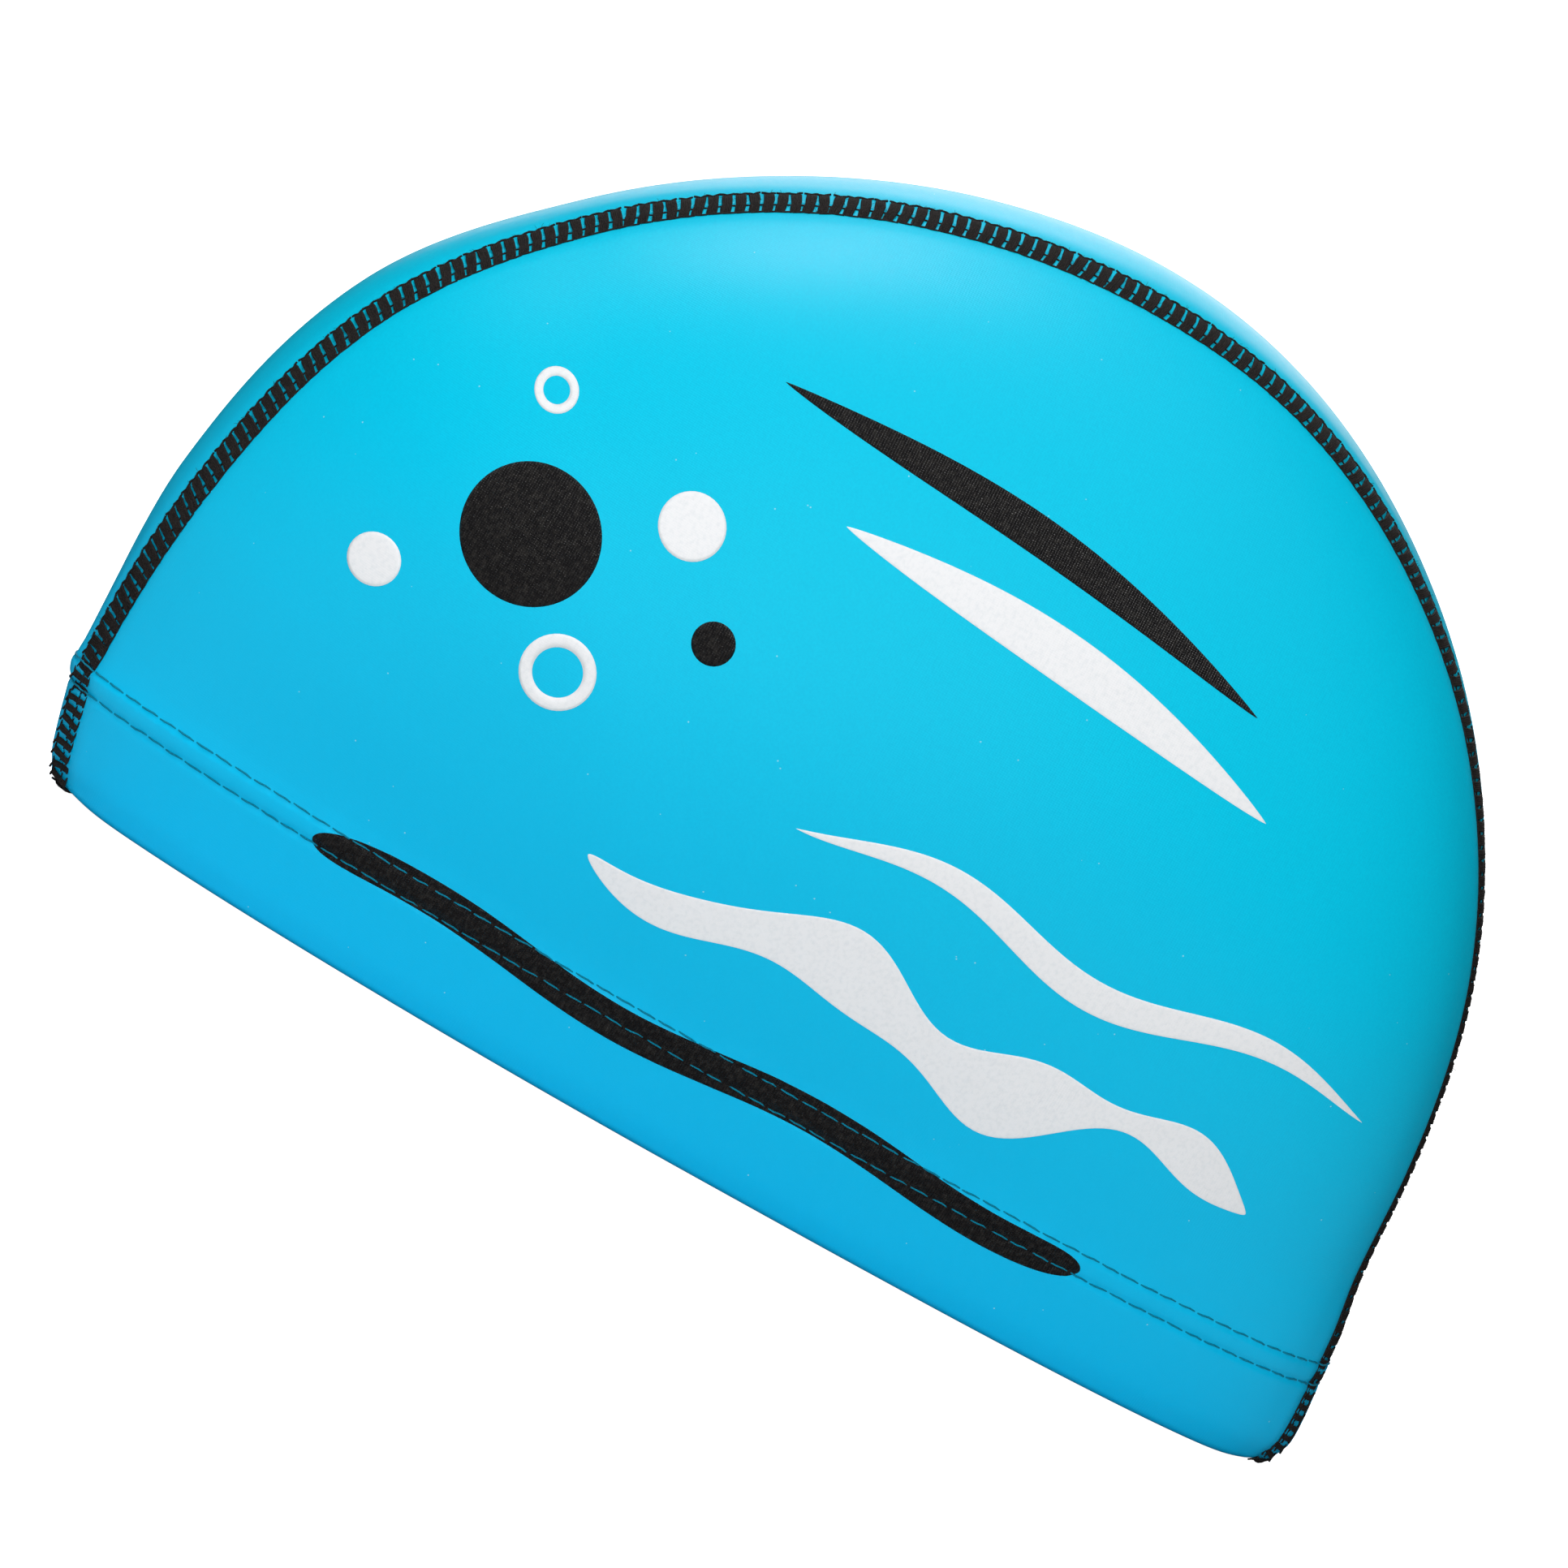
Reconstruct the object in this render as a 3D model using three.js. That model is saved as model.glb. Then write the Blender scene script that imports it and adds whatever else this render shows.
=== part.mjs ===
// Knitted swim cap with a thin silicone coat, open at the rim and resting on it.
// Millimetres, +Z up, front towards -Y, the wearer's left towards +X.
// Two panels are joined by one seam from the front of the rim over the crown to the back.

import * as THREE from "three";

// Driving sizes of the form
const LENGTH = 200; // front to back at the top of the hem, before the outline table
const HEIGHT = 137; // rim to the top of the crown
const WIDTH = 88; // side to side where the crown is widest
const HEM_HEIGHT = 17; // height of the folded hem above the rim

// Driving sizes of the cloth
const FABRIC = 1.2; // one layer of coated knit
const HEM_LAYERS = 2; // layers in the folded hem
const HEM_EDGE = 1.2; // height over which the cut edge of the fold steps to one layer
const FOLD_ROUND = 0.5; // how far the fold draws in at the rim
const FOLD_RISE = 0.9; // height of that rounding

// Driving sizes of the seam
const SEAM_WIDTH = 4.2; // width of the overlocked band
const SEAM_THICKNESS = 0.6; // thread standing on each face of the cloth
const SEAM_CORE = 0.5; // thread between the two cut edges
const SEAM_DRIFT = 12; // furthest that the seam strays from the middle, towards the left
const RIM_DRIFT = { front: 0.7, back: 1 }; // share of that stray left at the two ends of the seam
const SEAM_RISE = 1; // height above the rim where the stitching starts
const CLEARANCE = 0.3; // gap between neighbouring pieces

// Fineness of the mesh
const CORE_ROWS = 13; // rows from the ear line to the edge of the middle of a panel
const RING_SHARES = [1, 0.955, 0.9, 0.83, 0.76, 0.69, 0.62, 0.55]; // from the seam inwards

// Outline of the cap by its turn from the front of the hem (0) over the crown to the back (180).
// reach: share of the plain oval; fullness: exponent of the arch across the cap, 2 for an
// ellipse; drift: share of SEAM_DRIFT
const OUTLINE = [
  { turn: 0, reach: 1.023, fullness: 1.8, drift: 0.39 },
  { turn: 14, reach: 1.06, fullness: 1.85, drift: 0.7 },
  { turn: 30, reach: 1.08, fullness: 1.95, drift: 0.82 },
  { turn: 45, reach: 1.04, fullness: 2.0, drift: 0.69 },
  { turn: 60, reach: 1.01, fullness: 2.1, drift: 0.73 },
  { turn: 75, reach: 1.0, fullness: 2.15, drift: 0.88 },
  { turn: 90, reach: 1.0, fullness: 2.2, drift: 1.0 },
  { turn: 105, reach: 1.0, fullness: 2.3, drift: 0.97 },
  { turn: 120, reach: 1.0, fullness: 2.4, drift: 0.92 },
  { turn: 135, reach: 1.0, fullness: 2.5, drift: 0.89 },
  { turn: 150, reach: 0.99, fullness: 2.6, drift: 0.93 },
  { turn: 165, reach: 0.963, fullness: 2.7, drift: 0.98 },
  { turn: 173, reach: 0.955, fullness: 2.75, drift: 0.99 },
  { turn: 180, reach: 0.97, fullness: 2.8, drift: 1.0 },
];

// Half width of the cap by height, both as shares of WIDTH and HEIGHT
const SIDE_SWELL = [
  { height: 0, width: 0.7 },
  { height: 0.125, width: 0.79 },
  { height: 0.25, width: 0.89 },
  { height: 0.4, width: 0.97 },
  { height: 0.55, width: 1.0 },
  { height: 0.75, width: 0.98 },
  { height: 1, width: 0.92 },
  { height: 1.1, width: 0.92 },
];

// How the hem draws in from its top (1) to the rim (0), as shares of the length there
const HEM_TAPER = [
  { rise: 0, front: 0.949, back: 1.003 },
  { rise: 0.25, front: 0.962, back: 1.012 },
  { rise: 0.5, front: 0.974, back: 1.01 },
  { rise: 0.75, front: 0.986, back: 1.004 },
  { rise: 1, front: 1, back: 1 },
];

// Values worked out from the sizes
const HALF_TURN = Math.PI;
const CROWN_HEIGHT = HEIGHT - HEM_HEIGHT;
const HEM_THICKNESS = FABRIC * HEM_LAYERS;
const PANEL_EDGE = SEAM_CORE / 2 + CLEARANCE; // from the seam line to the cut edge of a panel
const HEM_ROWS = [
  1,
  1 - HEM_EDGE / HEM_HEIGHT,
  0.62,
  0.32,
  FOLD_RISE / HEM_HEIGHT,
  0,
];

// Smooth value of one column of a table between its rows. At its two ends the curve is level, or
// where free is set it runs on straight
function follow(table, key, column, at, free = false) {
  const last = table.length - 1;
  const place = THREE.MathUtils.clamp(at, table[0][key], table[last][key]);
  let row = 0;
  while (row < last - 1 && place > table[row + 1][key]) row += 1;
  const slope = (i) => {
    if (!free && (i === 0 || i === last)) return 0;
    const [before, after] = [table[Math.max(i - 1, 0)], table[Math.min(i + 1, last)]];
    return (after[column] - before[column]) / (after[key] - before[key]);
  };
  const [from, to] = [table[row], table[row + 1]];
  const span = to[key] - from[key];
  const t = (place - from[key]) / span;
  const [t2, t3] = [t * t, t * t * t];
  return (2 * t3 - 3 * t2 + 1) * from[column] + (t3 - 2 * t2 + t) * span * slope(row)
    + (3 * t2 - 2 * t3) * to[column] + (t3 - t2) * span * slope(row + 1);
}

const outline = (column, turn) => follow(OUTLINE, "turn", column, THREE.MathUtils.radToDeg(turn));
const halfWidth = (z) => (WIDTH / 2) * follow(SIDE_SWELL, "height", "width", z / HEIGHT, true);
const taper = (turn, rise) => follow(HEM_TAPER, "rise", turn < HALF_TURN / 2 ? "front" : "back", rise);

// Point of the outer skin. turn goes front to back over the crown, rise is the share of the hem's
// height (1 everywhere above it), swing goes from the left ear (0) over the seam to the right ear
function skin({ turn, rise }, swing) {
  const fullness = outline("fullness", turn);
  const [c, s] = [Math.cos(swing), Math.sin(swing)];
  const size = (Math.abs(c) ** fullness + Math.abs(s) ** fullness) ** (1 / fullness);
  const reach = outline("reach", turn) * (s / size) * taper(turn, rise);
  const z = HEM_HEIGHT * rise + CROWN_HEIGHT * Math.sin(turn) * reach;
  return new THREE.Vector3(halfWidth(z) * (c / size), -(LENGTH / 2) * Math.cos(turn) * reach, z);
}

// Below zero inside the skin and above zero outside it
function outside(x, y, z) {
  const rise = THREE.MathUtils.clamp(z / HEM_HEIGHT, 0, 1);
  const [along, up] = [y / (LENGTH / 2), Math.max(0, z - HEM_HEIGHT) / CROWN_HEIGHT];
  const turn = Math.atan2(up, -along);
  const fullness = outline("fullness", turn);
  const reach = Math.hypot(along, up) / (outline("reach", turn) * taper(turn, rise));
  return (Math.abs(x) / halfWidth(z)) ** fullness + reach ** fullness - 1;
}

// Direction straight out of the skin; level within the hem, so that its rows stay level
function outward(point, rise) {
  const step = 0.01;
  const { x, y, z } = point;
  const slope = new THREE.Vector3(
    outside(x + step, y, z) - outside(x - step, y, z),
    outside(x, y + step, z) - outside(x, y - step, z),
    z > HEM_HEIGHT + step ? outside(x, y, z + step) - outside(x, y, z - step) : 0,
  );
  if (rise < 1) slope.z = 0;
  return slope.normalize();
}

// Swing at which the skin meets the seam line
function seamSwing(station) {
  const end = station.turn < HALF_TURN / 2 ? RIM_DRIFT.front : RIM_DRIFT.back;
  const kept = THREE.MathUtils.lerp(end, 1, station.rise);
  const drift = SEAM_DRIFT * outline("drift", station.turn) * kept;
  let [low, high] = [0, HALF_TURN];
  for (let i = 0; i < 50; i += 1) {
    const middle = (low + high) / 2;
    if (skin(station, middle).x > drift) low = middle;
    else high = middle;
  }
  return (low + high) / 2;
}

// Swing that lies a distance sideways of the seam line, towards the right ear if positive
function besideSeam(station, sideways) {
  const [middle, step] = [seamSwing(station), 0.002];
  const speed = skin(station, middle + step).distanceTo(skin(station, middle - step)) / (2 * step);
  return middle + sideways / speed;
}

// Thickness of the cloth at a height share of the hem
function clothThickness(rise) {
  return rise >= 1 ? FABRIC : HEM_THICKNESS;
}

// Turns of the stations along the seam, matched to the square middle of a panel
function stationTurns() {
  const turns = [];
  for (let j = 0; j < CORE_ROWS; j += 1) turns.push(Math.asin(j / CORE_ROWS / Math.SQRT2));
  for (let i = -CORE_ROWS; i <= CORE_ROWS; i += 1) turns.push(Math.acos(-i / CORE_ROWS / Math.SQRT2));
  for (let j = CORE_ROWS - 1; j >= 0; j -= 1) turns.push(HALF_TURN - Math.asin(j / CORE_ROWS / Math.SQRT2));
  return turns;
}

// Lattice of one panel: rings that follow the seam, a square middle round the ear and level rows
// down the hem. Each node has its station and its share of the way from the ear to the seam
function panelLattice() {
  const turns = stationTurns();
  const nodes = [];
  const faces = [];
  const add = (turn, rise, share) => nodes.push({ turn, rise, share }) - 1;
  const quad = (a, b, c, d) => faces.push([a, b, c], [a, c, d]);

  const rings = RING_SHARES.map((share) => turns.map((turn) => add(turn, 1, share)));
  const innermost = rings[rings.length - 1];
  for (let a = 0; a < rings.length - 1; a += 1) {
    for (let k = 0; k < turns.length - 1; k += 1) {
      quad(rings[a + 1][k], rings[a + 1][k + 1], rings[a][k + 1], rings[a][k]);
    }
  }

  const columns = 2 * CORE_ROWS;
  const coreShare = RING_SHARES[RING_SHARES.length - 1];
  const core = (i, j) => {
    if (i === 0) return innermost[j];
    if (i === columns) return innermost[turns.length - 1 - j];
    if (j === CORE_ROWS) return innermost[CORE_ROWS + i];
    return middle[i - 1][j];
  };
  const middle = [];
  for (let i = 1; i < columns; i += 1) {
    const column = [];
    for (let j = 0; j < CORE_ROWS; j += 1) {
      const [u, v] = [i / CORE_ROWS - 1, j / CORE_ROWS];
      const along = u * Math.sqrt(1 - (v * v) / 2);
      const up = v * Math.sqrt(1 - (u * u) / 2);
      column.push(add(Math.atan2(up, -along), 1, coreShare * Math.hypot(along, up)));
    }
    middle.push(column);
  }
  for (let i = 0; i < columns; i += 1) {
    for (let j = 0; j < CORE_ROWS; j += 1) quad(core(i, j), core(i + 1, j), core(i + 1, j + 1), core(i, j + 1));
  }

  let upper = rings.map((ring) => ring[0]);
  for (let i = 1; i < columns; i += 1) upper.push(core(i, 0));
  upper.push(...rings.map((ring) => ring[turns.length - 1]).reverse());
  for (const rise of HEM_ROWS.slice(1)) {
    const lower = upper.map((top) => add(nodes[top].turn, rise, nodes[top].share));
    for (let c = 0; c < upper.length - 1; c += 1) quad(upper[c], lower[c], lower[c + 1], upper[c + 1]);
    upper = lower;
  }
  return { nodes, faces };
}

// Closed mesh from an outer sheet, the matching inner sheet and the strip round their edge
function thicken(outer, inner, faces) {
  const count = outer.length;
  const open = new Map();
  for (const face of faces) {
    for (let i = 0; i < 3; i += 1) {
      const [a, b] = [face[i], face[(i + 1) % 3]];
      if (!open.delete(`${b},${a}`)) open.set(`${a},${b}`, [a, b]);
    }
  }
  const index = [];
  for (const [a, b, c] of faces) index.push(a, b, c, a + count, c + count, b + count);
  for (const [a, b] of open.values()) index.push(b, a, a + count, b, a + count, b + count);
  return closedGeometry([...outer, ...inner], index);
}

function closedGeometry(points, index) {
  const geometry = new THREE.BufferGeometry().setFromPoints(points);
  geometry.setIndex(index);
  geometry.computeVertexNormals();
  return geometry;
}

// One panel of the cap; side is 1 for the left and -1 for the right
function panelGeometry(side) {
  const { nodes, faces } = panelLattice();
  const outer = [];
  const inner = [];
  for (const node of nodes) {
    const onEdge = node.share === 1;
    const edge = besideSeam(node, -side * PANEL_EDGE);
    const swing = side > 0 ? node.share * edge : HALF_TURN - node.share * (HALF_TURN - edge);
    const point = skin(node, swing);
    const out = outward(onEdge ? skin(node, seamSwing(node)) : point, node.rise);
    const roundIn = node.rise === 0 ? FOLD_ROUND : 0;
    outer.push(point.clone().addScaledVector(out, -roundIn));
    inner.push(point.clone().addScaledVector(out, roundIn - clothThickness(node.rise)));
  }
  const outwardFaces = side > 0 ? faces : faces.map(([a, b, c]) => [a, c, b]);
  return thicken(outer, inner, outwardFaces);
}

// Section of the seam band: a flat strip of thread on each face of the cloth and a thin core
// between the cut edges. Each row is a distance sideways and a height above or below the cloth
function seamSection(thickness) {
  const [half, core] = [SEAM_WIDTH / 2, SEAM_CORE / 2];
  const crown = half * 0.75;
  const [outerFoot, outerTop] = [CLEARANCE, CLEARANCE + SEAM_THICKNESS];
  const [innerFoot, innerTop] = [-thickness - CLEARANCE, -thickness - CLEARANCE - SEAM_THICKNESS];
  return [
    { sideways: -half, height: outerFoot },
    { sideways: -crown, height: outerTop },
    { sideways: crown, height: outerTop },
    { sideways: half, height: outerFoot },
    { sideways: core, height: outerFoot },
    { sideways: core, height: innerFoot },
    { sideways: half, height: innerFoot },
    { sideways: crown, height: innerTop },
    { sideways: -crown, height: innerTop },
    { sideways: -half, height: innerFoot },
    { sideways: -core, height: innerFoot },
    { sideways: -core, height: outerFoot },
  ];
}

// Overlocked band along the whole seam, from just above the rim in front to the same at the back
function seamGeometry() {
  const rows = HEM_ROWS.slice(1, -2).concat(SEAM_RISE / HEM_HEIGHT);
  const front = rows.map((rise) => ({ turn: 0, rise })).reverse();
  const back = rows.map((rise) => ({ turn: HALF_TURN, rise }));
  const stations = [...front, ...stationTurns().map((turn) => ({ turn, rise: 1 })), ...back];
  const points = [];
  const index = [];
  const corners = seamSection(FABRIC).length;
  for (const station of stations) {
    const middleOut = outward(skin(station, seamSwing(station)), station.rise);
    for (const { sideways, height } of seamSection(clothThickness(station.rise))) {
      const point = skin(station, besideSeam(station, sideways));
      const out = Math.abs(sideways) < PANEL_EDGE ? middleOut : outward(point, station.rise);
      points.push(point.addScaledVector(out, height));
    }
  }
  for (let s = 0; s < stations.length - 1; s += 1) {
    for (let c = 0; c < corners; c += 1) {
      const [a, b] = [s * corners + c, s * corners + ((c + 1) % corners)];
      index.push(a, b + corners, b, a, a + corners, b + corners);
    }
  }
  const section = seamSection(FABRIC).map(({ sideways, height }) => new THREE.Vector2(sideways, height));
  const last = (stations.length - 1) * corners;
  for (const [a, b, c] of THREE.ShapeUtils.triangulateShape(section, [])) {
    index.push(a, c, b, last + a, last + b, last + c);
  }
  return closedGeometry(points, index);
}

// Finishes
const coatedKnit = new THREE.MeshStandardMaterial({ color: 0x00b4dc, roughness: 0.45, metalness: 0 });
const overlockThread = new THREE.MeshStandardMaterial({ color: 0x16161a, roughness: 0.9, metalness: 0 });

function piece(name, geometry, material) {
  const mesh = new THREE.Mesh(geometry, material);
  mesh.name = name;
  return mesh;
}

const cap = new THREE.Group();
cap.add(piece("left_panel", panelGeometry(1), coatedKnit));
cap.add(piece("right_panel", panelGeometry(-1), coatedKnit));
cap.add(piece("seam_band", seamGeometry(), overlockThread));

// The rim stays on z = 0 and the middle of the cap goes over the origin
const middle = new THREE.Box3().setFromObject(cap).getCenter(new THREE.Vector3());
cap.position.set(-middle.x, -middle.y, 0);

export default cap;
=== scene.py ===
"""Knitted swim cap with a thin silicone coat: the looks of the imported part.

Two coated panels meet in an overlocked seam that runs over the crown from the front of the rim to
the back. The rim is a folded hem held by two needle rows, and the left panel carries a print of
waves, streaks and bubbles. Sizes are in millimetres until a mesh is made of them.
"""

import cmath
import logging
import math
from collections.abc import Callable, Iterable, Sequence
from dataclasses import dataclass, field
from enum import Enum
from typing import Any

import bmesh
import bpy
import numpy as np
from mathutils import Matrix, Vector


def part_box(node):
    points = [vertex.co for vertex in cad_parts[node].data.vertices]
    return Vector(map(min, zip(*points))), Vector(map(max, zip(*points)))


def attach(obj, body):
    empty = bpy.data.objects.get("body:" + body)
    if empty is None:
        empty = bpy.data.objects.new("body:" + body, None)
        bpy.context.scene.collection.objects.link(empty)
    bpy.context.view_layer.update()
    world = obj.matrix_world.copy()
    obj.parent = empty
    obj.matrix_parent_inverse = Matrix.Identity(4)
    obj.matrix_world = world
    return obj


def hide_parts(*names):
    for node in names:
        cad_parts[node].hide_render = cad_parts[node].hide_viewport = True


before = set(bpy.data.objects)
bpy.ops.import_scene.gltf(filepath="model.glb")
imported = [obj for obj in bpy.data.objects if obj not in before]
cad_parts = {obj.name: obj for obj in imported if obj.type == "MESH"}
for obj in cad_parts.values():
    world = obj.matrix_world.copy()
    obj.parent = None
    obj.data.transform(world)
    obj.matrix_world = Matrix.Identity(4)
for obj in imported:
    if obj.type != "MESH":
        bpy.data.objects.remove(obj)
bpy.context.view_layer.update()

log = logging.getLogger("swim_cap")

MM = 0.001
BODY = "root"
WEAVE_MAP = "Weave"
HALF_TURN = math.pi

Colour = tuple[float, float, float, float]
Strand = list[tuple[float, float, float, float]]

# Outline of the cap by its turn in degrees, from the front of the hem over the crown to the back:
# share of the plain oval, exponent of the arch across the cap, share of the seam's drift.
# Reach comes from a fit to the photograph's silhouette, rounded, and the rows at 0, 14, 165, 173 and
# 180 were changed or added afterwards. Drift is rounded from readings of the seam as far as 105
# degrees, and judged beyond.
OUTLINE = np.array(
    [
        (0, 1.023, 1.8, 0.39),
        (14, 1.06, 1.85, 0.7),
        (30, 1.08, 1.95, 0.82),
        (45, 1.04, 2.0, 0.69),
        (60, 1.01, 2.1, 0.73),
        (75, 1.0, 2.15, 0.88),
        (90, 1.0, 2.2, 1.0),
        (105, 1.0, 2.3, 0.97),
        (120, 1.0, 2.4, 0.92),
        (135, 1.0, 2.5, 0.89),
        (150, 0.99, 2.6, 0.93),
        (165, 0.963, 2.7, 0.98),
        (173, 0.955, 2.75, 0.99),
        (180, 0.97, 2.8, 1.0),
    ],
    dtype=[("turn", float), ("reach", float), ("fullness", float), ("drift", float)],
)

# Half width of the cap by height, both as shares of the widest place and of the full height
SIDE_SWELL = np.array(
    [
        (0, 0.7),
        (0.125, 0.79),
        (0.25, 0.89),
        (0.4, 0.97),
        (0.55, 1.0),
        (0.75, 0.98),
        (1, 0.92),
        (1.1, 0.92),
    ],
    dtype=[("height", float), ("width", float)],
)

# How the hem draws in from its top (1) to the rim (0), as shares of the length there
HEM_TAPER = np.array(
    [
        (0, 0.949, 1.003),
        (0.25, 0.962, 1.012),
        (0.5, 0.974, 1.01),
        (0.75, 0.986, 1.004),
        (1, 1.0, 1.0),
    ],
    dtype=[("rise", float), ("front", float), ("back", float)],
)


def srgb(red: int, green: int, blue: int) -> Colour:
    """Linear colour with full alpha of an 8-bit screen colour."""

    def linear(value: int) -> float:
        """Linear share of one channel."""
        share = value / 255
        return share / 12.92 if share <= 0.04045 else ((share + 0.055) / 1.055) ** 2.4

    return linear(red), linear(green), linear(blue), 1.0


def follow(table: np.ndarray, key: str, column: str, at: np.ndarray, free: bool = False) -> np.ndarray:
    """Smooth values of one column of a table between its rows.

    Args:
        table: Rows in rising order of key.
        key: Name of the column that at is measured in.
        column: Name of the column that is read.
        at: Places along the key.
        free: Whether the curve runs on straight at its two ends, in place of level.

    Returns:
        The column's value at each place.
    """
    keys, values = table[key], table[column]
    place = np.clip(at, keys[0], keys[-1])
    row = np.clip(np.searchsorted(keys, place) - 1, 0, len(keys) - 2)
    before = np.maximum(np.arange(len(keys)) - 1, 0)
    after = np.minimum(np.arange(len(keys)) + 1, len(keys) - 1)
    slopes = (values[after] - values[before]) / (keys[after] - keys[before])
    if not free:
        slopes[[0, -1]] = 0
    span = keys[row + 1] - keys[row]
    t = (place - keys[row]) / span
    return (
        (2 * t**3 - 3 * t**2 + 1) * values[row]
        + (t**3 - 2 * t**2 + t) * span * slopes[row]
        + (3 * t**2 - 2 * t**3) * values[row + 1]
        + (t**3 - t**2) * span * slopes[row + 1]
    )


def unit(vectors: np.ndarray) -> np.ndarray:
    """Vectors of length one."""
    return vectors / np.maximum(np.linalg.norm(vectors, axis=-1, keepdims=True), 1e-12)


def bell(distance: np.ndarray, width: float) -> np.ndarray:
    """A soft bump of height one and of about this half width."""
    return np.exp(-((distance / width) ** 2))


def ease(value: np.ndarray, start: float, end: float) -> np.ndarray:
    """Smooth step from 0 at start to 1 at end."""
    t = np.clip((value - start) / (end - start), 0, 1)
    return t * t * (3 - 2 * t)


def distances(points: np.ndarray) -> np.ndarray:
    """How far each point is from the first, along the line through them."""
    return np.concatenate([[0], np.cumsum(np.linalg.norm(np.diff(points, axis=0), axis=1))])


def closed_quads(sheet: np.ndarray, count: int) -> np.ndarray:
    """Closes a sheet of quads with another side and a wall round its edge.

    Args:
        sheet: Quads of the outer side.
        count: Number of corners of one side. The other side's corners follow them.

    Returns:
        The quads of the outer side, of the other side and of the wall, in that order.
    """
    edges = {(int(face[i]), int(face[(i + 1) % 4])) for face in sheet for i in range(4)}
    wall = [(b, a, a + count, b + count) for a, b in edges if (b, a) not in edges]
    return np.concatenate([sheet, sheet[:, ::-1] + count, wall])


class Side(Enum):
    """The two panels, by the side of the wearer that they cover."""

    LEFT = 1
    RIGHT = -1


@dataclass(frozen=True)
class CapForm:
    """The cap's outer skin, by the same tables and sizes as the part's solids.

    A turn goes from the front (0) over the crown to the back (pi), a rise is a share of the hem's
    height, 1 everywhere above it, and a swing goes from the left ear (0) over the seam to the
    right ear (pi).
    """

    length: float = 200.0
    height: float = 137.0
    width: float = 88.0
    hem_height: float = 17.0
    seam_drift: float = 12.0
    rim_drift: tuple[float, float] = (0.7, 1.0)
    forward: float = 0.0
    needle_rows: tuple[float, float] = (13.9, 17.1)
    hem_swell: float = 0.4
    row_depth: float = 0.3
    row_width: float = 0.55
    pucker: float = 0.09
    softness: float = 0.25
    corner_lift: float = 0.7
    widest_rise: float = 0.32

    @classmethod
    def in_frame(cls) -> "CapForm":
        """The form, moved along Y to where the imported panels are."""
        plain = cls()
        turns = np.linspace(0, HALF_TURN, 721)
        rise = np.where((turns == 0) | (turns == HALF_TURN), plain.widest_rise, 1.0)
        along = plain.skin(turns, rise, np.full_like(turns, HALF_TURN / 2))[:, 1]
        low, high = (corner[1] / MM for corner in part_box("right_panel"))
        return cls(forward=((low - along.min()) + (high - along.max())) / 2)

    def half_width(self, z: np.ndarray) -> np.ndarray:
        """Half the width of the cap at heights z."""
        return self.width / 2 * follow(SIDE_SWELL, "height", "width", z / self.height, free=True)

    def taper(self, turn: np.ndarray, rise: np.ndarray) -> np.ndarray:
        """Share of its length that the hem keeps at a rise."""
        front = follow(HEM_TAPER, "rise", "front", rise)
        back = follow(HEM_TAPER, "rise", "back", rise)
        return np.where(turn < HALF_TURN / 2, front, back)

    def skin(self, turn: np.ndarray, rise: np.ndarray, swing: np.ndarray) -> np.ndarray:
        """Points of the plain outer skin."""
        degrees = np.degrees(turn)
        fullness = follow(OUTLINE, "turn", "fullness", degrees)
        across, over = np.cos(swing), np.sin(swing)
        size = (np.abs(across) ** fullness + np.abs(over) ** fullness) ** (1 / fullness)
        reach = follow(OUTLINE, "turn", "reach", degrees) * (over / size) * self.taper(turn, rise)
        z = self.hem_height * rise + (self.height - self.hem_height) * np.sin(turn) * reach
        y = self.forward - self.length / 2 * np.cos(turn) * reach
        return np.stack([self.half_width(z) * across / size, y, z], axis=-1)

    def polar(self, y: np.ndarray, z: np.ndarray) -> tuple[np.ndarray, np.ndarray]:
        """Share of the outline and fullness of the arch at places of the side view."""
        along = (y - self.forward) / (self.length / 2)
        up = np.maximum(0, z - self.hem_height) / (self.height - self.hem_height)
        turn = np.arctan2(up, -along)
        full_reach = follow(OUTLINE, "turn", "reach", np.degrees(turn))
        rise = np.clip(z / self.hem_height, 0, 1)
        reach = np.hypot(along, up) / (full_reach * self.taper(turn, rise))
        return reach, follow(OUTLINE, "turn", "fullness", np.degrees(turn))

    def side_x(self, y: np.ndarray, z: np.ndarray) -> np.ndarray:
        """How far the skin stands out sideways at places of the side view."""
        reach, fullness = self.polar(y, z)
        return self.half_width(z) * np.maximum(0, 1 - reach**fullness) ** (1 / fullness)

    def outside(self, points: np.ndarray) -> np.ndarray:
        """Below zero inside the skin and above zero outside it."""
        x, y, z = np.moveaxis(points, -1, 0)
        reach, fullness = self.polar(y, z)
        return (np.abs(x) / self.half_width(z)) ** fullness + reach**fullness - 1

    def outward(self, points: np.ndarray) -> np.ndarray:
        """Directions straight out of the skin, level within the hem so that its rows stay level."""
        step = 0.01
        slopes = []
        for axis in range(3):
            move = np.zeros(3)
            move[axis] = step
            slopes.append(self.outside(points + move) - self.outside(points - move))
        slopes[2] = slopes[2] * ease(points[..., 2], self.hem_height, self.hem_height + 5)
        return unit(np.stack(slopes, axis=-1))

    def seam_swing(self, turn: np.ndarray, rise: np.ndarray) -> np.ndarray:
        """Swings at which the skin meets the seam line."""
        end = np.where(turn < HALF_TURN / 2, *self.rim_drift)
        kept = end + (1 - end) * rise
        drift = self.seam_drift * follow(OUTLINE, "turn", "drift", np.degrees(turn)) * kept
        low, high = np.zeros_like(drift), np.full_like(drift, HALF_TURN)
        for _ in range(40):
            middle = (low + high) / 2
            beyond = self.skin(turn, rise, middle)[..., 0] > drift
            low, high = np.where(beyond, middle, low), np.where(beyond, high, middle)
        return (low + high) / 2

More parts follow.
